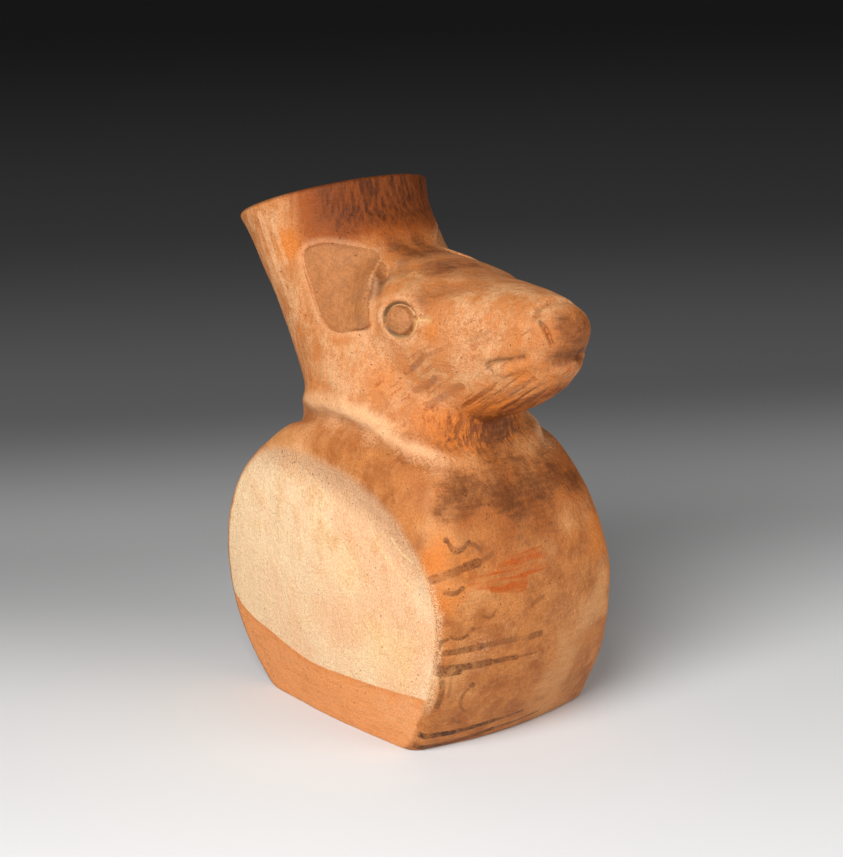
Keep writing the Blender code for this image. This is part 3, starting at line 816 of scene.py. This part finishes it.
SPOUT_STRIPES = [
    (51.8, 173.9, 42.1, 155.8, 0.5, 1.6, 0.9), (42.1, 155.8, 34.9, 144.3, 0.3, 1.2, 0.7),
    (45.5, 172.6, 37.3, 158.8, 0.4, 1, 0.7), (54, 168, 45, 151, 0.5, 0.8, 0.5),
    (36, 140, 27.5, 116, 1, 0.8, 0.4), (30.5, 134, 24.5, 112, 0.8, 0.9, 0.35),
]


class Nodes:
    """The nodes of one tree, added step by step."""

    def __init__(self, tree):
        self.tree = tree

    def node(self, kind, **settings):
        made = self.tree.nodes.new(kind)
        for name, value in settings.items():
            setattr(made, name, value)
        return made

    def put(self, socket, value):
        if isinstance(value, bpy.types.NodeSocket):
            self.tree.links.new(value, socket)
        else:
            socket.default_value = value

    def math(self, operation, first, second=0.0, third=0.0, clamp=False):
        made = self.node("ShaderNodeMath", operation=operation, use_clamp=clamp)
        for socket, value in zip(made.inputs, (first, second, third)):
            self.put(socket, value)
        return made.outputs[0]

    def times(self, *values):
        product = values[0]
        for value in values[1:]:
            product = self.math("MULTIPLY", product, value)
        return product

    def plus(self, *values):
        total = values[0]
        for value in values[1:]:
            total = self.math("ADD", total, value)
        return total

    def vector(self, operation, first, second=None):
        made = self.node("ShaderNodeVectorMath", operation=operation)
        self.put(made.inputs[0], first)
        self.put(made.inputs["Scale" if operation == "SCALE" else 1], second)
        return made.outputs["Value" if operation == "DOT_PRODUCT" else "Vector"]

    def ramp(self, value, low, high):
        """0 at low, 1 at high, with soft ends."""
        made = self.node("ShaderNodeMapRange", interpolation_type="SMOOTHSTEP")
        for socket, given in zip(made.inputs, (value, low, high, 0.0, 1.0)):
            self.put(socket, given)
        return made.outputs[0]


class Finish(Nodes):
    """A finish of a surface, read by place in millimetres."""

    def __init__(self, name):
        self.material = bpy.data.materials.new(name)
        self.material.use_nodes = True
        super().__init__(self.material.node_tree)
        self.surface = self.tree.nodes["Principled BSDF"]
        spot = self.node("ShaderNodeTexCoord").outputs["Object"]
        self.place = self.vector("SCALE", spot, 1000.0)

    def mix(self, share, first, second, way="MIX"):
        made = self.node("ShaderNodeMix", data_type="RGBA", blend_type=way)
        for socket, value in zip((0, 6, 7), (share, first, second)):
            self.put(made.inputs[socket], value)
        return made.outputs[2]

    def kept(self, name):
        return self.node("ShaderNodeAttribute", attribute_name=name).outputs["Fac"]

    def grain(self, size, detail=3.0, rough=0.55, stretch=(1, 1, 1), twist=0.0, shift=0.0,
              place=None):
        """Uneven cloudiness with patches of about the size in millimetres."""
        made = self.node("ShaderNodeTexNoise")
        fit = self.node("ShaderNodeMapping")
        self.put(fit.inputs["Vector"], place or self.place)
        self.put(fit.inputs["Location"], (shift, shift * 0.7, -shift))
        self.put(fit.inputs["Scale"], tuple(s / size for s in stretch))
        given = {"Vector": fit.outputs[0], "Scale": 1.0, "Detail": detail, "Roughness": rough,
                 "Distortion": twist}
        for name, value in given.items():
            self.put(made.inputs[name], value)
        return made.outputs["Fac"], made.outputs["Color"]


def brush():
    """One stroke of a brush: how much it covers a place on the clay."""
    group = Nodes(bpy.data.node_groups.new("brush stroke", "ShaderNodeTree"))
    sockets = group.tree.interface
    for name in ("Place", "Start", "Along", "Across"):
        sockets.new_socket(name=name, in_out="INPUT", socket_type="NodeSocketVector")
    for name in ("Length", "Bow", "Width", "Strength"):
        sockets.new_socket(name=name, in_out="INPUT", socket_type="NodeSocketFloat")
    sockets.new_socket(name="Cover", in_out="OUTPUT", socket_type="NodeSocketFloat")
    given = group.node("NodeGroupInput").outputs
    offset = group.vector("SUBTRACT", given["Place"], given["Start"])
    share = group.vector("DOT_PRODUCT", offset, given["Along"])
    held = group.math("ADD", share, 0.0, clamp=True)
    past = group.times(group.math("SUBTRACT", share, held), given["Length"])
    hump = group.times(held, group.math("SUBTRACT", 1.0, held), 4.0)
    aside = group.vector("DOT_PRODUCT", offset, given["Across"])
    aside = group.math("SUBTRACT", aside, group.times(hump, given["Bow"]))
    gap = group.math("SQRT", group.plus(group.times(aside, aside), group.times(past, past)))
    inner = group.math("SUBTRACT", given["Width"], 0.35)
    fade = group.ramp(gap, group.plus(given["Width"], 0.3), inner)
    group.put(group.node("NodeGroupOutput").inputs[0], group.times(fade, given["Strength"]))
    return group.tree


def strokes(finish, brush_tree, place, table):
    """The most that any stroke of a table covers a place."""
    cover = None
    for x0, v0, x1, v1, bow, width, strength in table:
        length = math.hypot(x1 - x0, v1 - v0)
        ux, uv = (x1 - x0) / length, (v1 - v0) / length
        made = finish.node("ShaderNodeGroup", node_tree=brush_tree)
        given = (place, (x0, v0, 0), (ux / length, uv / length, 0), (-uv, ux, 0),
                 length, bow, width, strength)
        for socket, value in zip(made.inputs, given):
            finish.put(socket, value)
        one = made.outputs[0]
        cover = one if cover is None else finish.math("MAXIMUM", cover, one)
    return cover


def clay_finish():
    clay = Finish("fired clay")
    apart = clay.node("ShaderNodeSeparateXYZ")
    clay.put(apart.inputs[0], clay.place)
    x, y, z = apart.outputs
    times, plus, rise, mix, kept = clay.times, clay.plus, clay.ramp, clay.mix, clay.kept

    def uneven(cloud, amount):
        return times(clay.math("SUBTRACT", cloud, 0.5), amount)

    def more(value, amount, base, clamp=False):
        return clay.math("MULTIPLY_ADD", value, amount, base, clamp)

    def less(value):
        return clay.math("SUBTRACT", 1.0, value)

    def blend(base, *layers):
        """The base with tones over it, each by the product of its shares."""
        for tone, *shares in layers:
            base = mix(times(*shares), base, tone)
        return base

    def lay(*layer):
        nonlocal colour
        colour = blend(colour, layer)

    def on_rim(turns, depths, cloud, start):
        """How far the front of the spout is covered, by its turn and its depth below the rim."""
        share = times(rise(around, *turns), rise(below, *depths), spout)
        share = plus(share, uneven(upright, 0.25), uneven(patch, cloud))
        return times(rise(share, start, 0.8), spout)

    # Cloudiness of several sizes
    broad, _ = clay.grain(26, detail=2, shift=3)
    patch, _ = clay.grain(9, detail=4, rough=0.6)
    small, small_ways = clay.grain(2.6, detail=4, rough=0.65, shift=9)
    fine, fine_ways = clay.grain(0.55, detail=2, rough=0.8)
    brushed, _ = clay.grain(1.3, detail=3, stretch=(0.1, 0.1, 1.0), rough=0.6, twist=0.3)
    upright, _ = clay.grain(1.6, detail=2, stretch=(1.0, 1.0, 0.09), rough=0.5)
    along_jaw = clay.node("ShaderNodeVectorRotate", rotation_type="X_AXIS")
    clay.put(along_jaw.inputs["Vector"], clay.place)
    along_jaw.inputs["Angle"].default_value = math.radians(-55)
    drawn_out, _ = clay.grain(2.1, detail=3, stretch=(1.0, 1.0, 0.07), rough=0.6, twist=0.3,
                              place=along_jaw.outputs[0])
    worms, _ = clay.grain(1.7, detail=2, rough=0.5, twist=2.4, shift=5)

    # Places for the brush, shaken a little by the hand and the wear
    ahead = clay.math("SUBTRACT", BODY_BACKSET / MM, y)
    over = clay.math("SUBTRACT", z, BODY_CENTRE / MM)
    up_band = times(clay.math("ARCTAN2", over, ahead), BAND_RADIUS)
    shake = clay.vector("SCALE", clay.vector("SUBTRACT", small_ways, (0.5, 0.5, 0.5)), 0.45)
    crumb = clay.vector("SCALE", clay.vector("SUBTRACT", fine_ways, (0.5, 0.5, 0.5)), 0.9)
    unsure = clay.vector("MULTIPLY", clay.vector("ADD", shake, crumb), (1, 1, 0))

    def drawing(across, up):
        place = clay.node("ShaderNodeCombineXYZ")
        clay.put(place.inputs[0], across)
        clay.put(place.inputs[1], up)
        return clay.vector("ADD", place.outputs[0], unsure)

    band_place, side_place = drawing(x, up_band), drawing(y, z)
    brush_tree = brush()

    # Ground colours of the clay and its slips
    colour = mix(rise(patch, 0.35, 0.65), DEEP_TAN, TAN)
    lay(PALE_TAN, rise(broad, 0.46, 0.68))
    lay(PALE_TAN, rise(small, 0.48, 0.66), 0.3)
    lay(DEEP_TAN, rise(brushed, 0.55, 0.35), 0.2)
    neck_up = kept("head")
    neck_tone = blend(
        NECK_TAN, (NECK_PALE, rise(patch, 0.4, 0.66)), (OCHRE, rise(upright, 0.45, 0.7), 0.4),
        (DEEP_TAN, rise(small, 0.52, 0.36), 0.3),
    )
    lay(neck_tone, neck_up)
    lay(OCHRE, rise(plus(kept("orange wash"), uneven(patch, 0.9)), 0.12, 0.75), 0.85)

    # The pale flat sides and the orange slip at their foot
    into = plus(kept("into flat"), uneven(small, 1.6), 0.8)
    soft_edge = more(rise(z, 62, 84), -3.2, -1.3)
    pale = rise(plus(into, times(rise(z, 62, 84), uneven(patch, 3.0))), soft_edge, 0.3)
    yellow = plus(kept("yellow haze"), uneven(patch, 1.1), uneven(small, 0.5))
    high_front = rise(plus(z, times(y, -0.4)), 20, 90)
    top_edge = rise(plus(into, uneven(patch, 6.0)), 11.0, 0.5)
    cream = blend(
        PINK_CREAM, (CREAM, rise(broad, 0.42, 0.62)),
        (WHITE_CREAM, rise(plus(y, uneven(broad, 30.0)), 5, 45), 0.75),
        (YELLOW_CREAM, rise(yellow, 0.15, 0.9), 0.55), (PINK_CREAM, rise(small, 0.52, 0.68), 0.3),
        (PALE_TAN, rise(patch, 0.46, 0.66), high_front, 0.45),
        (EDGE_CREAM, top_edge, rise(plus(z, times(y, -0.25)), 62, 88), 0.85),
    )
    over_slip = plus(kept("above slip"), times(small, 0.7))
    above = rise(over_slip, 0.1, 0.8)
    slip_edge = times(rise(over_slip, -3.0, 0.2), less(above))
    slip = blend(
        ORANGE_SLIP, (OCHRE, slip_edge, 0.35), (PALE_TAN, rise(brushed, 0.5, 0.7), 0.45),
        (TAN, rise(brushed, 0.48, 0.32), 0.35),
        (CREAM, rise(y, 0, -42), rise(patch, 0.35, 0.65), 0.12),
    )
    lay(mix(above, slip, cream), pale)
    # Cream along the rounded front edge between the flat side and the band: a painted highlight
    ridge = times(rise(into, -4.2, -2.0), rise(into, 0.4, -0.6), rise(y, 10, -30))
    ridge = times(ridge, rise(z, 82, 60), rise(z, 12, 24), rise(fine, 0.35, 0.6))
    lay(CREAM, ridge, 0.55)

    # Washes of brown slip, drawn out by the brush
    loose = plus(uneven(brushed, 0.35), uneven(patch, 0.7), uneven(small, 0.4))
    wash = rise(plus(kept("brown wash"), loose), 0.08, 0.95)
    wash_tone = mix(rise(wash, 0.4, 1.1), WARM_BROWN, BROWN)
    lay(wash_tone, wash, 0.92)
    throat = kept("throat")
    low = rise(z, 119, 111)
    drawn_out = plus(times(drawn_out, less(low)), times(low, upright))
    lay(OCHRE, throat, rise(drawn_out, 0.48, 0.62), 0.8)
    lay(BROWN, throat, rise(drawn_out, 0.47, 0.36), more(low, -0.5, 0.85))
    rusty = times(neck_up, rise(drawn_out, 0.47, 0.34), rise(patch, 0.4, 0.56))
    lay(WARM_BROWN, rusty, rise(y, 2, -12), rise(z, 158, 148), 0.65)
    around, below, spout = (kept(name) for name in ("round spout", "below rim", "spout"))
    lay(SPOUT_TAN, on_rim((84, 45), (34, 12), 0.4, 0.15), 0.95)
    rim_tone = mix(rise(upright, 0.2, 0.7), RIM_BROWN, RIM_TAN)
    lay(rim_tone, on_rim((75, 22), (27, 9), 0.5, 0.12))
    lay(BROWN, rise(plus(below, small), 2.1, 0.9), 0.55)
    # Pale cream on the ledge above the neck's foot: pale clay, and partly a painted highlight where
    # the ledge meets the light
    ledge = rise(plus(kept("ledge"), uneven(patch, 0.5), uneven(small, 0.4)), 0.2, 0.9)
    lay(LEDGE_CREAM, ledge, rise(small, 0.1, 0.5), 0.8)
    # Painted shade: brown in the crease where the neck stands on the shoulders
    lay(BROWN, kept("crease"), rise(small, 0.3, 0.6), 0.45)
    # Painted grey shade in the hollows about the ear and the brow, with some grey smudging
    smudge_and_shade = kept("grey smudge and shade")
    uneven_smudge_and_shade = plus(smudge_and_shade, uneven(patch, 0.5), uneven(fine, 0.5))
    lay(GREY, rise(uneven_smudge_and_shade, 0.1, 0.8), rise(smudge_and_shade, 0.03, 0.3), 0.6)

    # Pale haze and wormy deposit
    haze = kept("pale haze")
    wormy = rise(plus(haze, uneven(worms, 1.7), uneven(patch, 0.5)), 0.2, 0.9)
    haze = times(wormy, rise(haze, 0.02, 0.3))
    lay(PINK_HAZE_AND_HIGHLIGHT, haze, 0.6)

    # The ear, the eye and the creases of the face
    into_ear = kept("into ear")
    ear_tone = blend(
        EAR_TAN, (NECK_TAN, rise(small, 0.42, 0.62), 0.5),
        (DIRT_AND_SHADE, rise(fine, 0.56, 0.68), rise(patch, 0.5, 0.62), 0.7),
    )
    lay(ear_tone, rise(into_ear, -0.4, 0.5), 0.9)
    # A pale rim just outside the ear: painted highlight on the raised lip round it
    lay(PINK_HAZE_AND_HIGHLIGHT, rise(into_ear, -3.4, -1.0), rise(into_ear, -0.1, -0.7), 0.3)
    # Painted shade just inside the ear's edge, where the ear is sunk below the neck
    ear_edge = times(rise(into_ear, -0.5, 0.1), rise(into_ear, 1.3, 0.3))
    lay(DIRT_AND_SHADE, ear_edge, rise(small, 0.35, 0.6), 0.3)
    from_eye = kept("from eye")
    lay(PINK_HAZE_AND_HIGHLIGHT, rise(from_eye, 10.5, 7.2), rise(small, 0.3, 0.7), 0.6)
    lay(ear_tone, rise(from_eye, 5.5, 4.8), 0.8)
    groove = times(rise(from_eye, 5.0, 5.4), rise(from_eye, 6.8, 6.1))
    groove = clay.math("MAXIMUM", groove, kept("tear"))
    lay(DEPOSIT, groove, rise(small, 0.35, 0.55), 0.7)
    # Painted shade on the upper back side of the eye's groove, and in the creases of the mouth,
    # beside and above the nose and before the ear
    shadow = times(rise(from_eye, 5.2, 5.7), rise(from_eye, 6.9, 6.2))
    shadow = times(shadow, rise(plus(y, times(z, 0.5)), 50, 60))
    shadow = clay.math("MAXIMUM", shadow, kept("creases"))
    lay(DIRT_AND_SHADE, shadow, rise(small, 0.25, 0.55), 0.8)

    # Brushwork and scratches
    worn = rise(plus(times(fine, 0.45), times(small, 0.35), times(patch, 0.2)), 0.4, 0.6)
    worn = plus(times(worn, 0.8), 0.2)
    off_flat = less(rise(into, -2.6, -1.2))
    front = times(rise(ahead, 20, 28), rise(z, 94, 90), off_flat)
    dark = times(strokes(clay, brush_tree, band_place, DARK_STROKES), worn)
    lay(DARK_PAINT, dark, front)
    red = strokes(clay, brush_tree, band_place, RED_STROKES)
    red_cover = plus(times(red, 0.6), uneven(brushed, 2.4), uneven(fine, 1.4), uneven(patch, 0.8))
    lay(RED_PAINT, rise(red_cover, 0.25, 0.85), red, front, 0.85)
    lay(BROWN, rise(fine, 0.56, 0.66), rise(small, 0.5, 0.6), red, front, 0.7)
    foot = times(strokes(clay, brush_tree, band_place, FOOT_STROKES), worn)
    lay(BLACK_PAINT, foot, rise(ahead, 20, 28), off_flat)
    faced = rise(z, 100, 104)
    cheek = times(strokes(clay, brush_tree, side_place, CHEEK_STROKES), worn, faced)
    lay(CHEEK_PAINT, cheek, rise(patch, 0.3, 0.5), 0.95)
    stripes = strokes(clay, brush_tree, side_place, SPOUT_STRIPES)
    lay(PINK_HAZE_AND_HIGHLIGHT, stripes, faced, rise(small, 0.2, 0.55), 0.75)
    scratch = times(strokes(clay, brush_tree, side_place, PALE_SCRATCHES), pale)
    lay(YELLOW_CREAM, scratch, 0.6)

    # Temper, specks and pits
    gritty = rise(fine, 0.32, 0.68)
    rubbed = more(times(pale, above), 0.18, 0.3)
    rubbed = plus(rubbed, times(rise(patch, 0.4, 0.65), 0.14))
    grit_tone = mix(gritty, GRIT_DARK, GRIT_PALE)
    colour = mix(rubbed, colour, grit_tone, "OVERLAY")
    speck = clay.node("ShaderNodeTexVoronoi", feature="F1")
    clay.put(speck.inputs["Vector"], clay.vector("ADD", clay.place, crumb))
    speck.inputs["Scale"].default_value = 0.42
    at_speck = rise(speck.outputs["Distance"], 0.14, 0.05)
    chosen = clay.node("ShaderNodeSeparateXYZ")
    clay.put(chosen.inputs[0], speck.outputs["Color"])
    pits = times(at_speck, rise(chosen.outputs[0], 0.56, 0.6))
    lay(DIRT_AND_SHADE, pits, 0.75)

    # The inside and the underside
    dusty = mix(rise(patch, 0.4, 0.62), DEEP_TAN, INNER_CLAY)
    lay(dusty, kept("inside"), rise(below, 2.0, 5.0))
    lay(PALE_TAN, rise(z, 0.9, 0.2), rise(small, 0.3, 0.6))
    clay.put(clay.surface.inputs["Base Color"], colour)
    clay.surface.inputs["Specular IOR Level"].default_value = 0.16

    # Sheen of the burnished slip against the matt flat sides
    rough = more(clay.math("SUBTRACT", patch, 0.5), 0.25, 0.48)
    rough = more(pale, 0.16, rough)
    rough = more(haze, 0.12, rough)
    rough = more(clay.math("SUBTRACT", fine, 0.5), 0.35, rough, clamp=True)
    clay.put(clay.surface.inputs["Roughness"], rough)

    # Relief in millimetres
    height = times(patch, 0.8)
    grit = more(times(pale, rise(z, 85, 15)), 0.1, 0.26)
    reliefs = (
        (small, 0.75), (fine, grit), (brushed, 0.24), (upright, times(neck_up, 0.22)), (dark, -0.08),
        (times(throat, drawn_out), 0.9), (pits, -0.25), (scratch, 0.15), (haze, 0.06),
    )
    for relief, amount in reliefs:
        height = more(relief, amount, height)
    bump = clay.node("ShaderNodeBump")
    clay.put(bump.inputs["Height"], height)
    bump.inputs["Distance"].default_value = 0.001
    bump.inputs["Strength"].default_value = 0.9
    clay.put(clay.surface.inputs["Normal"], bump.outputs[0])
    return clay.material


# ---- the jar

def foot_pressed(obj, floor, softness):
    """The clay pressed flat on a board at the height of the floor."""
    points = points_of(obj)
    above = (points[:, 2] - floor) / softness
    soft = np.where(above > 20, above, np.log1p(np.exp(np.minimum(above, 20))))
    points[:, 2] = floor + soft * softness
    move_to(obj, points)


def open_rim(obj, plane):
    edit(obj, "EDGE")
    bpy.ops.mesh.select_all(action="SELECT")
    bpy.ops.mesh.bisect(plane_co=plane, plane_no=LEAN, clear_outer=True, threshold=1e-5)
    done()


RIM_CURVE = ((0.12, 0.38), (0.25, 0.3), (0.38, 0.22), (0.35, 0.1))  # each step inward and up


def jar():
    outer = moulded("jar_clay", 0, GRAIN, OVERRUN)
    handled(outer)
    carved(outer)
    foot_pressed(outer, 0, 0.5 * MM)
    open_rim(outer, RIM - LEAN * RIM_ROUND)
    hollow = moulded("hollow", WALL, 2.2 * GRAIN, 3 * OVERRUN)
    foot_pressed(hollow, WALL, 0.5 * MM)
    open_rim(hollow, RIM - LEAN * RIM_ROUND)
    edit(hollow)
    bpy.ops.mesh.select_all(action="SELECT")
    bpy.ops.mesh.flip_normals()
    done()
    outer_count = len(outer.data.vertices)
    hollow_count = len(hollow.data.vertices)
    joined([outer, hollow])
    edit(outer, "EDGE")
    bpy.ops.mesh.select_non_manifold(extend=False)
    for out, up in RIM_CURVE:
        bpy.ops.mesh.extrude_edges_move()
        clay = bmesh.from_edit_mesh(outer.data)
        for vertex in clay.verts:
            if vertex.select:
                arm = vertex.co - RIM
                arm -= arm.dot(LEAN) * LEAN
                way = -1 if arm.length > SPOUT_RADIUS - WALL / 2 else 1
                vertex.co += (LEAN * up + arm.normalized() * way * out) * RIM_ROUND
        bmesh.update_edit_mesh(outer.data)
    bpy.ops.mesh.bridge_edge_loops()
    bpy.ops.mesh.select_all(action="SELECT")
    bpy.ops.mesh.quads_convert_to_tris()
    done()
    marked(outer, slice(outer_count, outer_count + hollow_count))
    only(outer)
    bpy.ops.object.shade_smooth()
    return outer


# ---- light and camera

# Painted light falloff: how pale the paper is painted, by a quarter of its way in metres, counted
# from a metre before the jar
BACKDROP_FALLOFF = [(0.2, 0.8), (0.25, 0.7), (0.3, 0.38), (0.36, 0.15), (0.5, 0.075), (0.9, 0.02)]
FALLOFF_WAY = (0.00048, 0.0009, 0)  # the way that the painted light falloff darkens the paper, for each millimetre
CAMERA = (-0.5095, -0.6043, 0.318)
AIM = (-0.00142, 0.00119, 0.10018)
FOCAL, PHOTO_HEIGHT = 2300, 857  # in the photo's dots
SENSOR = 36  # millimetres
JAR_MIDDLE = (0, 0, 0.08)

def looking(place, aim):
    return (Vector(aim) - Vector(place)).to_track_quat("-Z", "Y").to_euler()


def floor():
    """A pale table whose paper is painted darker far behind the jar, a painted falloff of the light.
    """
    nothing_selected()
    bpy.ops.mesh.primitive_plane_add(size=6, location=(0.6, 0.7, 0))
    sheet = bpy.context.object
    sheet.name = "backdrop"
    bpy.ops.object.transform_apply(location=True, rotation=True, scale=True)
    paper = Finish("paper")
    way = paper.vector("DOT_PRODUCT", paper.place, FALLOFF_WAY)
    shade = paper.node("ShaderNodeValToRGB")
    far = paper.math("DIVIDE", paper.math("ADD", way, 1.0), 4.0)
    paper.put(shade.inputs[0], far)
    shade.color_ramp.interpolation = "EASE"
    stops = shade.color_ramp.elements
    for stop, (place, grey) in zip(stops, (BACKDROP_FALLOFF[0], BACKDROP_FALLOFF[-1])):
        stop.position = place
        stop.color = (grey, grey, grey, 1)
    for place, grey in BACKDROP_FALLOFF[1:-1]:
        stops.new(place).color = (grey, grey, grey, 1)
    paper.put(paper.surface.inputs["Base Color"], shade.outputs[0])
    paper.surface.inputs["Roughness"].default_value = 0.8
    paper.surface.inputs["Specular IOR Level"].default_value = 0.2
    sheet.data.materials.append(paper.material)


def lamp(name, place, size, power):
    nothing_selected()
    bpy.ops.object.light_add(type="AREA", location=place)
    light = bpy.context.object
    light.name = name
    light.data.shape = "DISK"
    light.data.size = size
    light.data.energy = power
    light.rotation_euler = looking(place, JAR_MIDDLE)


def camera():
    nothing_selected()
    bpy.ops.object.camera_add(location=CAMERA)
    eye = bpy.context.object
    eye.data.sensor_width = SENSOR
    eye.data.lens = FOCAL * SENSOR / PHOTO_HEIGHT
    eye.rotation_euler = looking(CAMERA, AIM)
    eye.data.clip_start = 0.01
    bpy.context.scene.camera = eye


piece = jar()
piece.data.materials.clear()
piece.data.materials.append(clay_finish())
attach(piece, "root")
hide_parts("jar")
floor()
lamp("key", (-0.95, -0.42, 0.8), 1.0, 23)
lamp("fill", (0.55, -1.15, 0.55), 0.9, 8)
camera()
world = bpy.data.worlds.new("room")
world.use_nodes = True
world.node_tree.nodes["Background"].inputs["Color"].default_value = (1, 1, 1, 1)
world.node_tree.nodes["Background"].inputs["Strength"].default_value = 0.09
bpy.context.scene.world = world
bpy.context.scene.view_settings.view_transform = "Standard"
